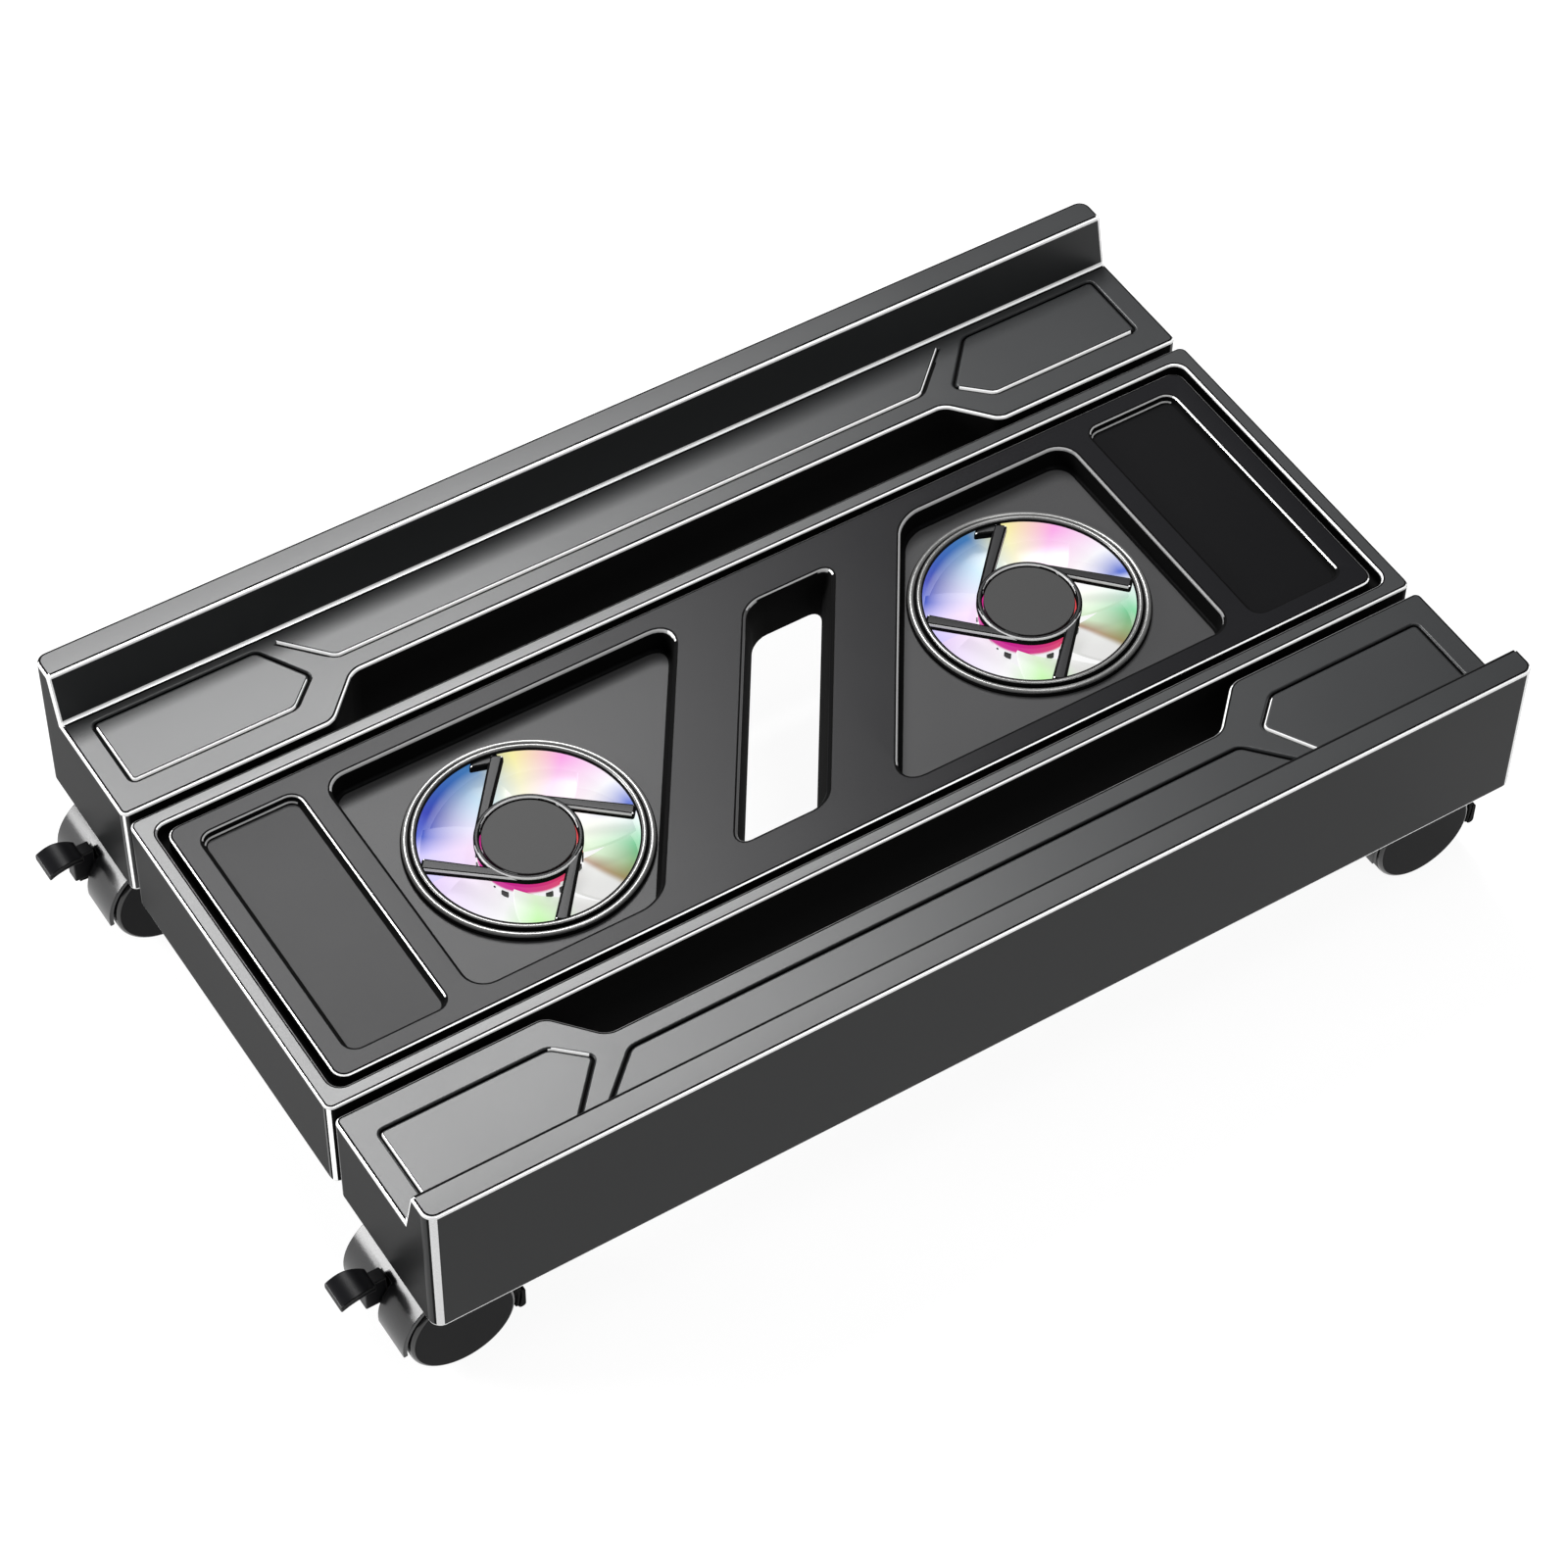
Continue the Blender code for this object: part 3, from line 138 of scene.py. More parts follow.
@contextmanager
def editing(piece):
    """Edit mode on one piece alone."""
    alone(piece)
    bpy.ops.object.mode_set(mode="EDIT")
    yield
    bpy.ops.object.mode_set(mode="OBJECT")


def block(name, one, other):
    """A cube stretched between two opposite corners."""
    spans = [sorted(pair) for pair in zip(one, other)]
    alone()
    bpy.ops.mesh.primitive_cube_add(size=1.0, location=[(a + b) / 2 for a, b in spans])
    piece = bpy.context.object
    piece.name = name
    piece.scale = [b - a for a, b in spans]
    return fixed()


def pick(piece, kind, chosen, rim=False):
    """Selects faces by middle and normal, edges by middle and run, or points by place.

    At a rim, only edges with a face on one side count.
    """
    bpy.ops.mesh.select_mode(type=kind)
    bpy.ops.mesh.select_all(action="DESELECT")
    shape = bmesh.from_edit_mesh(piece.data)
    if kind == "FACE":
        found = [f for f in shape.faces if chosen(f.calc_center_median(), f.normal)]
    elif kind == "EDGE":
        ends = [(e, e.verts[0].co, e.verts[1].co) for e in shape.edges if e.is_boundary or not rim]
        found = [e for e, a, b in ends if chosen((a + b) / 2, (b - a).normalized())]
    else:
        found = [v for v in shape.verts if chosen(v.co)]
    for part in found:
        part.select_set(True)
    bmesh.update_edit_mesh(piece.data)


def modify(piece, kind, **settings):
    """Adds a modifier and applies it."""
    step = piece.modifiers.new(kind.title(), kind)
    for name, value in settings.items():
        setattr(step, name, value)
    alone(piece)
    bpy.ops.object.modifier_apply(modifier=step.name)


def bevelled(radius, segments):
    """Rounds the selected edges."""
    bpy.ops.mesh.bevel(offset=radius, segments=segments, affect="EDGES")


def upright_edges(piece, radius, segments=6):
    """Rounds a tool's upright corners."""
    with editing(piece):
        pick(piece, "EDGE", lambda place, run: abs(run.z) > MOSTLY)
        bevelled(radius, segments)


def joined(pieces):
    """Several pieces as one object."""
    alone()
    for piece in pieces:
        piece.select_set(True)
    bpy.context.view_layer.objects.active = pieces[0]
    if len(pieces) > 1:
        bpy.ops.object.join()
    return pieces[0]


def carve(piece, tools, operation="DIFFERENCE"):
    """Cuts a piece with separate tools, or welds them to it."""
    tool = joined(tools)
    modify(piece, "BOOLEAN", operation=operation, solver="EXACT", object=tool)
    bpy.data.objects.remove(tool)


def soften(piece, width, angle=30.0, segments=3):
    """Moulded rounding along every edge sharper than an angle.

    The rounded strips are marked with painted light: painted shade in hollows and beside level faces, a
    painted highlight elsewhere.
    """
    while len(piece.data.materials) < 2:
        piece.data.materials.append(None)
    modify(
        piece,
        "BEVEL",
        width=width,
        segments=segments,
        limit_method="ANGLE",
        angle_limit=math.radians(angle),
        use_clamp_overlap=False,
        material=1,
    )
    shape = bmesh.new()
    shape.from_mesh(piece.data)
    wear = shape.faces.layers.float.get("wear") or shape.faces.layers.float.new("wear")
    for face in shape.faces:
        if face.material_index == 1:
            lines = [line for line in face.edges if len(line.link_faces) == 2]
            turn = sum(line.calc_face_angle_signed() for line in lines)
            flats = [f.normal.z for line in lines for f in line.link_faces if f.material_index == 0]
            if turn < 0.0 or any(rise > MOSTLY for rise in flats):
                face[wear] = PAINTED_SHADE
            else:
                face[wear] = 0.6 * PAINTED_HIGHLIGHT if flats else PAINTED_HIGHLIGHT
    for face in shape.faces:
        face.material_index = 0
    shape.to_mesh(piece.data)
    shape.free()


def marked(piece, value, chosen):
    """Marks faces, picked by middle and normal, with painted light: from painted shade in flat black to a
    painted highlight.
    """
    wear = piece.data.attributes.get("wear") or piece.data.attributes.new("wear", "FLOAT", "FACE")
    for face in piece.data.polygons:
        if chosen(face.center, face.normal):
            wear.data[face.index].value = value


def highlights_dimmed(piece):
    """Dims most of the painted highlight on rounded edges that face the back and the far end."""
    wear = piece.data.attributes["wear"]
    for face in piece.data.polygons:
        rear = face.normal.y > 0.35 and face.normal.x > -0.3
        if wear.data[face.index].value > 0.5 and (rear or face.normal.x > 0.55):
            wear.data[face.index].value = 0.15


def settle(piece, body, surface, slot, *stands_for):
    """Takes a finished piece from the deck's own zero to its place and hands it to its body."""
    piece.location = DECK
    alone(piece)
    fixed()
    bpy.ops.object.shade_smooth_by_angle(angle=SMOOTH)
    modify(piece, "WEIGHTED_NORMAL", keep_sharp=True)
    piece.data.materials.clear()
    piece.data.materials.append(surface)
    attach(piece, body)
    if stands_for:
        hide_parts(*stands_for)


class Wire:
    """One socket of a material, so that shader maths reads as plain sums."""

    def __init__(self, tree, socket):
        self.tree = tree
        self.socket = socket

    def add(self, kind, settings=None, inputs=None, output=0):
        """A node of the same material: its settings first, then values or wires for its sockets."""
        node = self.tree.nodes.new(kind)
        for name, value in (settings or {}).items():
            if name == "stops":
                while len(node.color_ramp.elements) < len(value):
                    node.color_ramp.elements.new(1.0)
                for element, (place, colour) in zip(node.color_ramp.elements, value):
                    element.position = place
                    element.color = (*colour, 1.0)
            else:
                setattr(node, name, value)
        for name, value in (inputs or {}).items():
            if isinstance(value, Wire):
                self.tree.links.new(value.socket, node.inputs[name])
            else:
                node.inputs[name].default_value = value
        return Wire(self.tree, node.outputs[output])

    def maths(self, operation, *values):
        """A Math node on values or wires."""
        return self.add("ShaderNodeMath", {"operation": operation}, dict(enumerate(values)))

    def mixed(self, low, high):
        """A colour between two, by this wire's value."""
        settings = {"data_type": "RGBA"}
        return self.add("ShaderNodeMix", settings, {"Factor": self, 6: low, 7: high}, 2)

    def feed(self, surface, name):
        """Links this wire to a socket of the surface."""
        self.tree.links.new(self.socket, surface.inputs[name])

    def __add__(self, other):
        return self.maths("ADD", self, other)

    def __sub__(self, other):
        return self.maths("SUBTRACT", self, other)

    def __mul__(self, other):
        return self.maths("MULTIPLY", self, other)

    def __radd__(self, other):
        return self.maths("ADD", other, self)

    def __rsub__(self, other):
        return self.maths("SUBTRACT", other, self)

    def __rmul__(self, other):
        return self.maths("MULTIPLY", other, self)


def blank_finish(name, **constants):
    """A new material: its surface, with what is the same all over, and its object coordinates."""
    material = bpy.data.materials.new(name)
    material.use_nodes = True
    tree = material.node_tree
    surface = tree.nodes["Principled BSDF"]
    for socket, value in constants.items():
        surface.inputs[socket.replace("_", " ").title().replace("Ior", "IOR")].default_value = value
    places = tree.nodes.new("ShaderNodeTexCoord")
    return material, surface, Wire(tree, places.outputs["Object"])


def moulded(
    name, dark, light, roughness, grain=0.10, metallic=0.0, edge=0.85, highlight_glow=0.45, coat=0.0, **constants
):
    """Moulded plastic with the fine grain of its tool, a painted highlight where faces are marked bright
    and painted shade, in flat black, where marked dark.
    """
    material, surface, place = blank_finish(name, emission_strength=1.0, coat_roughness=0.12, **constants)
    drift = place.add("ShaderNodeTexNoise", None, {"Vector": place, "Scale": 9.0, "Detail": 3.0})
    fine = place.add("ShaderNodeTexNoise", None, {"Vector": place, "Scale": 2600.0, "Detail": 2.0})
    wear = place.add("ShaderNodeAttribute", {"attribute_name": "wear"}, None, "Fac")
    # Marks above nought paint a highlight: the edge tone, more metal, a smoother finish and a glow.
    highlight = wear.maths("MAXIMUM", wear, 0.0)
    body = drift.mixed((*dark, 1.0), (*light, 1.0))
    highlight.mixed(body, (edge, edge, edge, 1.0)).feed(surface, "Base Color")
    ripple = (fine - 0.5) * 0.10 + (drift - 0.5) * 0.08
    (roughness + ripple - highlight * 0.10).feed(surface, "Roughness")
    (metallic + highlight * 0.35).feed(surface, "Metallic")
    (highlight * coat).feed(surface, "Coat Weight")
    highlight.mixed((0.0, 0.0, 0.0, 1.0), (highlight_glow, highlight_glow, highlight_glow, 1.0)).feed(surface, "Emission Color")
    relief = {"Strength": grain, "Distance": 0.00005, "Height": fine}
    place.add("ShaderNodeBump", None, relief).feed(surface, "Normal")
    # Marks below nought paint shade: a mix towards a flat black that barely reflects.
    black = {"Base Color": (0.003, 0.003, 0.003, 1.0), "Roughness": 0.9, "Specular IOR Level": 0.05}
    shade_black = place.add("ShaderNodeBsdfPrincipled", None, black)
    share = wear.maths("MAXIMUM", 0.0 - wear, 0.0)
    shaders = {0: share, 1: Wire(place.tree, surface.outputs[0]), 2: shade_black}
    whole = place.add("ShaderNodeMixShader", None, shaders)
    whole.feed(place.tree.nodes["Material Output"], "Surface")
    return material


gunmetal = moulded(
    "gunmetal_satin_plastic", (0.020, 0.021, 0.022), (0.025, 0.026, 0.027), 0.32, specular_ior_level=0.27
)
deck_satin = moulded(
    "deck_satin_plastic", (0.023, 0.024, 0.025), (0.029, 0.030, 0.031), 0.31, specular_ior_level=0.32
)

half_length, half_width = measured("deck_frame")[1][:2]
skirt = -measured("deck_frame")[0][2]
rim, ledge_drop, ledge_reach, ledge, wall = 0.006, 0.0061, 0.008, 0.0024, 0.0025
deck_corner, deck_edge = 0.003, 0.0011
clear_above, clear_below = 0.01, -0.06  # how far up and down a cutting tool reaches
deck = block("deck_frame_shell", (-half_length, -half_width, -skirt), (half_length, half_width, 0.0))
upright_edges(deck, deck_corner)
for inset, low, high, radius in (
    (rim, -ledge_drop, clear_above, 0.005),
    (rim + ledge_reach, -0.02, 0.005, 0.004),
    (wall, clear_below, -ledge_drop - ledge, 0.001),
):
    corner = (half_length - inset, half_width - inset)
    hollow = block("hollow", (-corner[0], -corner[1], low), (*corner, high))
    upright_edges(hollow, radius)
    carve(deck, [hollow])
soften(deck, deck_edge)

tongue_x = middle_of("slide_tongue_back_b")[0]
guide_face, tongue_top, tongue_bottom = 0.0143, -0.0197, -0.0263


def window(end, near, far):
    """The tool for a tongue's opening through a wall, at one end of the stand."""
    low, high = end * tongue_x - guide_face, end * tongue_x + guide_face
    return block("window", (low, near, tongue_bottom), (high, far, tongue_top))


def rounded(normal, low, high):
    """Whether a face is on an upright rounded corner, with its normal's x between two slants."""
    return abs(normal.z) < 0.1 and low < abs(normal.x) < high


def at_deck_corner(place):
    """Whether a place is on one of the frame's four rounded corners."""
    return abs(place.x) > half_length - deck_corner and abs(place.y) > half_width - deck_corner


def within_rim(place):
    """Whether a place is inside the frame and below the rounding of its rim."""
    level = abs(place.x) < half_length - rim + TINY and abs(place.y) < half_width - rim + TINY
    return level and place.z < -deck_edge - 0.0002


ends_and_sides = [(end, side) for end in (-1, 1) for side in (-1, 1)]
carve(deck, [
    window(end, side * (half_width - 0.006), side * (half_width + 0.004)) for end, side in ends_and_sides
])
# Painted shade: the frame's end faces darker, its side faces and its inside below the rim flat black, and
# the corners' rounding dark with a painted highlight down its middle.
marked(deck, -0.75, lambda place, normal: abs(normal.x) > 0.95 and abs(place.x) > half_length - TINY)
marked(deck, PAINTED_SHADE, lambda place, normal: abs(normal.y) > 0.95 and abs(place.y) > half_width - TINY)
marked(deck, PAINTED_SHADE, lambda place, normal: within_rim(place))
marked(deck, -0.9, lambda place, normal: at_deck_corner(place) and rounded(normal, 0.05, 0.99))
marked(deck, PAINTED_HIGHLIGHT, lambda place, normal: at_deck_corner(place) and rounded(normal, 0.6, 0.9))
highlights_dimmed(deck)
settle(deck, "deck", deck_satin, "gunmetal", "deck_frame")

guide_wall, guide_lip, guide_ledge, guide_top, guide_gap = 0.002, 0.004, 0.0035, -0.0133, 0.0002
reach = half_width - wall - guide_gap
guides = []
for end, side in ends_and_sides:
    near = end * tongue_x + side * guide_face
    foot = tongue_bottom - guide_ledge
    guide = block("guide", (near, -reach, foot), (near + side * guide_wall, reach, guide_top))
    inner, outer = near - side * guide_lip, near + side * guide_wall / 2
    lips = [
        block("guide_lip", (inner, -reach + TINY, z), (outer, reach - TINY, z + guide_ledge))
        for z in (foot + TINY, tongue_top)
    ]
    carve(guide, lips, "UNION")
    guides.append(guide)
guides = joined(guides)
guides.name = "deck_guides"
soften(guides, 0.0003, segments=2)
settle(guides, "deck", gunmetal, "gunmetal")


# Deck panel: the darker inset panel, one thin moulded skin dropped onto the frame's ledge.
# Wedge pockets hold the fans, shallow recesses close the ends, and a slanted slot runs through.
panel_black = moulded(
    "panel_satin_plastic", (0.004, 0.004, 0.005), (0.006, 0.006, 0.007), 0.30, specular_ior_level=0.085
)

panel_x, panel_y, panel_top, panel_rim = 0.211, 0.0615, -0.0003, 0.0055
panel_corner, panel_edge, panel_skin, panel_block = 0.005, 0.0012, 0.0020, 0.030
slant = math.tan(math.radians(33.6))
fan_x, fan_hole = middle_of("fan_housing_b")[0], 0.0413
pocket_end, pocket_y, pocket_depth, slant_x = 0.155, 0.053, 0.010, 0.0460
recess_end, recess_near, recess_depth = 0.202, 0.1645, 0.0035
slot_left, slot_right, slot_y = -0.0185, 0.0193, 0.0458
slot_shelf, slot_depth = 0.0107, 0.022
half_turn = Matrix.Rotation(math.pi, 4, "Z")


def extruded(value):
    """Draws the selected faces out along a vector."""
    bpy.ops.mesh.extrude_region_move(TRANSFORM_OT_translate={"value": value})


def faced_outward():
    """Turns every face of the piece in hand outwards."""
    bpy.ops.mesh.select_all(action="SELECT")
    bpy.ops.mesh.normals_make_consistent(inside=False)


def copied(piece, name, matrix):
    """A copy with its own mesh, moved by a matrix."""
    twin = piece.copy()
    twin.data = piece.data.copy()
    twin.data.transform(matrix)
    twin.name = name
    bpy.context.scene.collection.objects.link(twin)
    return twin


def aslant(place):
    """How far along x a place lies from the slanted line through the deck's middle."""
    return place.x - place.y * slant


def leaned(piece, corners_from, reach):
    """Slants the sides of a tool: points past a limit in x slide along x with their y."""
    with editing(piece):
        for side in (-1, 1):
            pick(piece, "VERT", lambda place: place.x > corners_from and place.y * side > 0)
            bpy.ops.transform.translate(value=(side * reach * slant, 0.0, 0.0))


def post(radius, low, high, x=0.0, y=0.0, sides=48):
    """A round bar between two heights."""
    alone()
    place = (x, y, (low + high) / 2)
    bpy.ops.mesh.primitive_cylinder_add(vertices=sides, radius=radius, depth=high - low, location=place)
    return fixed()


panel = block("deck_panel_skin", (-panel_x, -panel_y, -panel_block), (panel_x, panel_y, panel_top))
upright_edges(panel, panel_corner)

pocket = block("pocket", (-pocket_end, -pocket_y, -pocket_depth), (-slant_x, pocket_y, clear_above))
leaned(pocket, -fan_x, pocket_y)
with editing(pocket):
    for sharp, radius in ((True, 0.012), (False, 0.008)):
        pick(pocket, "EDGE", lambda place, run: abs(run.z) > MOSTLY and (place.x > -0.03) == sharp)
        bevelled(radius, 8)
with editing(pocket):
    pick(pocket, "FACE", lambda place, normal: normal.z < -MOSTLY)
    bpy.ops.transform.resize(value=(0.984, 0.978, 1.0))
    foot = TINY - pocket_depth
    pick(pocket, "VERT", lambda place: place.z < foot and aslant(place) > -slant_x - 0.014)
    bpy.ops.transform.translate(value=(-0.0020, 0.0, 0.0))
recess = block("recess", (-recess_end, -pocket_y, -recess_depth), (-recess_near, pocket_y, clear_above))
upright_edges(recess, 0.0045)
slot = block("slot", (slot_left, -slot_y, -slot_shelf), (slot_right, slot_y, 0.001))
leaned(slot, -panel_x, slot_y)
upright_edges(slot, 0.006)
with editing(slot):
    for side, draft in ((-1, 0.0035), (1, -0.0046)):
        pick(slot, "VERT", lambda place: place.z < TINY - slot_shelf and aslant(place) * side > 0)
        bpy.ops.transform.translate(value=(draft, 0.0, 0.0))
    pick(slot, "FACE", lambda place, normal: normal.z < -MOSTLY)
    extruded((0.0, 0.0, slot_shelf - slot_depth))
tools = [slot, pocket, recess, copied(pocket, "pocket_b", half_turn), copied(recess, "recess_b", half_turn)]
carve(panel, tools)
carve(panel, [post(fan_hole, -0.024, -0.008, end * fan_x, sides=96) for end in (-1, 1)])


def spare_face(place, normal):
    """What the solid block has and the moulded skin lacks: its underside, flanks and drilled walls."""
    upright = abs(normal.z) < 0.1
    bottom = normal.z > MOSTLY and place.z < -pocket_depth - 0.001 and place.z < -slot_shelf - TINY
    from_fan = math.hypot(abs(place.x) - fan_x, place.y)
    drilled = upright and place.z < -0.012 and from_fan < fan_hole + 0.001
    outside = upright and (abs(place.x) > panel_x - 0.002 or abs(place.y) > panel_y - 0.002)
    return normal.z < -0.5 or bottom or drilled or outside


def on_top_edge(place, run):
    """Whether an edge runs round the top of the panel."""
    outermost = abs(place.x) > panel_x - panel_corner - 0.0001 or abs(place.y) > panel_y - TINY
    return abs(place.z - panel_top) < TINY and outermost


with editing(panel):
    pick(panel, "FACE", spare_face)
    bpy.ops.mesh.delete(type="FACE")
    pick(panel, "EDGE", on_top_edge, rim=True)
    bpy.ops.mesh.extrude_edges_move(TRANSFORM_OT_translate={"value": (0.0, 0.0, -panel_rim)})
    faced_outward()
soften(panel, panel_edge)
level_from, below_shelf = 0.97, -0.007


def inside(place):
    """Whether a place is clear of the panel's outer edge."""
    return abs(place.x) < panel_x - 0.003 and abs(place.y) < panel_y - 0.003


def in_slot(place):
    """Whether a place is on the slot's wall or the rounding above it."""
    return abs(place.y) < slot_y + 0.001 and slot_left - 0.001 < aslant(place) < slot_right + 0.001


def sloping(normal):
    """Whether a face is part of a rounded edge."""
    return 0.3 < normal.z < 0.9


def toward_front(normal):
    """Whether a rounded edge faces the front."""
    return sloping(normal) and normal.y < -0.3


def toward_near_end(normal):
    """Whether a rounded edge faces the pedal end."""
    return sloping(normal) and normal.x < -0.6


def turned_away(normal):
    """Whether a rounded edge faces the back or the far end."""
    return 0.3 < normal.z < level_from and (normal.y > 0.2 or normal.x > 0.5)


# Painted light on the panel: walls, and the slot's walls, in painted shade, flat black; rounded edges
# facing the front or the pedal end with a painted highlight, a faint one on the slot's edges facing the far
# end, and those facing away or lying below the shelf in painted shade.
for mark, chosen in (
    (PAINTED_SHADE, lambda place, normal: abs(normal.z) < 0.3),
    (-0.85, lambda place, normal: inside(place) and turned_away(normal)),
    (0.3, lambda place, normal: inside(place) and toward_front(normal)),
    (-0.6, lambda place, normal: place.z < below_shelf and toward_front(normal)),
    (PAINTED_SHADE, lambda place, normal: in_slot(place) and place.z < -0.002 and normal.z < 0.8),
    (0.2, lambda place, normal: 0.10 < place.x < 0.160 and toward_near_end(normal)),
    (-0.85, lambda place, normal: place.z < below_shelf and toward_near_end(normal)),
    (0.06, lambda place, normal: in_slot(place) and sloping(normal) and normal.x > 0.4),
):
    marked(panel, mark, chosen)
# Painted light on the floors: the pockets' floors a little lighter with a painted highlight and the
# recesses' floors darker with painted shade, both more at the far end.
for way, pocket_painted_light, recess_painted_shade in ((-1, 0.02, -0.20), (1, 0.035, -0.55)):
    for low, high, mark in (
        (-panel_block, TINY - pocket_depth, pocket_painted_light),
        (-recess_depth - 0.001, -recess_depth + 0.0005, recess_painted_shade),
    ):
        marked(
            panel,
            mark,
            lambda place, normal: normal.z > level_from and low < place.z < high and place.x * way > 0,
        )
highlights_dimmed(panel)
modify(panel, "SOLIDIFY", thickness=panel_skin, offset=-1.0, use_even_offset=False)
settle(panel, "deck", panel_black, "panel", "deck_panel")


# Panel screws and supply inlet: small zinc-plated screws under the ledge hold the panel down.
# The round socket in the end wall is black nylon, pushed in from outside.
def plated(name, colour, roughness):
    """Plated or sintered metal: bright, with faint streaks of handling."""
    material, surface, place = blank_finish(name, metallic=1.0)
    streak = place.add("ShaderNodeTexNoise", None, {"Vector": place, "Scale": 420.0, "Detail": 4.0})
    darker = tuple(channel * 0.72 for channel in colour)
    streak.mixed((*darker, 1.0), (*colour, 1.0)).feed(surface, "Base Color")
    (roughness + (streak - 0.5) * 0.22).feed(surface, "Roughness")
    relief = {"Strength": 0.12, "Distance": 0.00004, "Height": streak}
    place.add("ShaderNodeBump", None, relief).feed(surface, "Normal")
    return material


def dressed(surface, *names):
    """Gives CAD pieces whose shape is right their finish."""
    for name in names:
        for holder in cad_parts[name].material_slots:
            holder.material = surface


zinc = plated("zinc_plated_steel", (0.64, 0.65, 0.67), 0.30)
nylon = moulded("black_nylon", (0.011, 0.011, 0.012), (0.017, 0.017, 0.018), 0.48)
dressed(zinc, *(f"panel_screw_{number}" for number in (1, 2, 3, 4)))
dressed(nylon, "power_inlet")


# Fans: each is a round black moulding clipped into its pocket, with two glossy rings above the floor.
# Four tangent struts reach in from the duct wall to the motor base, whose cap is a flat matt disc.
# A thin clear sleeve in the duct carries the coloured light round to the rings.
def arc(centre, radius, first, last, steps):
    """Points of a profile along part of a circle, angles in degrees."""
    angles = [math.radians(first + (last - first) * step / steps) for step in range(steps + 1)]
    return [(centre[0] + radius * math.cos(a), centre[1] + radius * math.sin(a)) for a in angles]


def turned(name, profile, sides, closed=True):
    """A circle drawn out loop by loop along a profile of (radius, height).

    A closed profile is a ring, whose last loop is bridged to the first. An open one is capped at both ends.
    """
    alone()
    radius, height = profile[0]
    bpy.ops.mesh.primitive_circle_add(vertices=sides, radius=radius, location=(0.0, 0.0, height))
    piece = fixed()
    piece.name = name
    with editing(piece):
        bpy.ops.mesh.select_all(action="SELECT")
        for after, level in profile[1:]:
            bpy.ops.mesh.extrude_edges_move(TRANSFORM_OT_translate={"value": (0.0, 0.0, level - height)})
            share = after / radius
            bpy.ops.transform.resize(value=(share, share, 1.0), center_override=(0.0, 0.0, level))
            radius, height = after, level
        if closed:
            bpy.ops.mesh.select_all(action="DESELECT")
            bpy.ops.mesh.select_mode(type="EDGE")
            bpy.ops.mesh.select_non_manifold(extend=False)
            bpy.ops.mesh.bridge_edge_loops()
        else:
            for level in (profile[0][1], profile[-1][1]):
                pick(piece, "EDGE", lambda place, run: abs(place.z - level) < TINY, rim=True)
                bpy.ops.mesh.edge_face_add()
        faced_outward()
    return piece


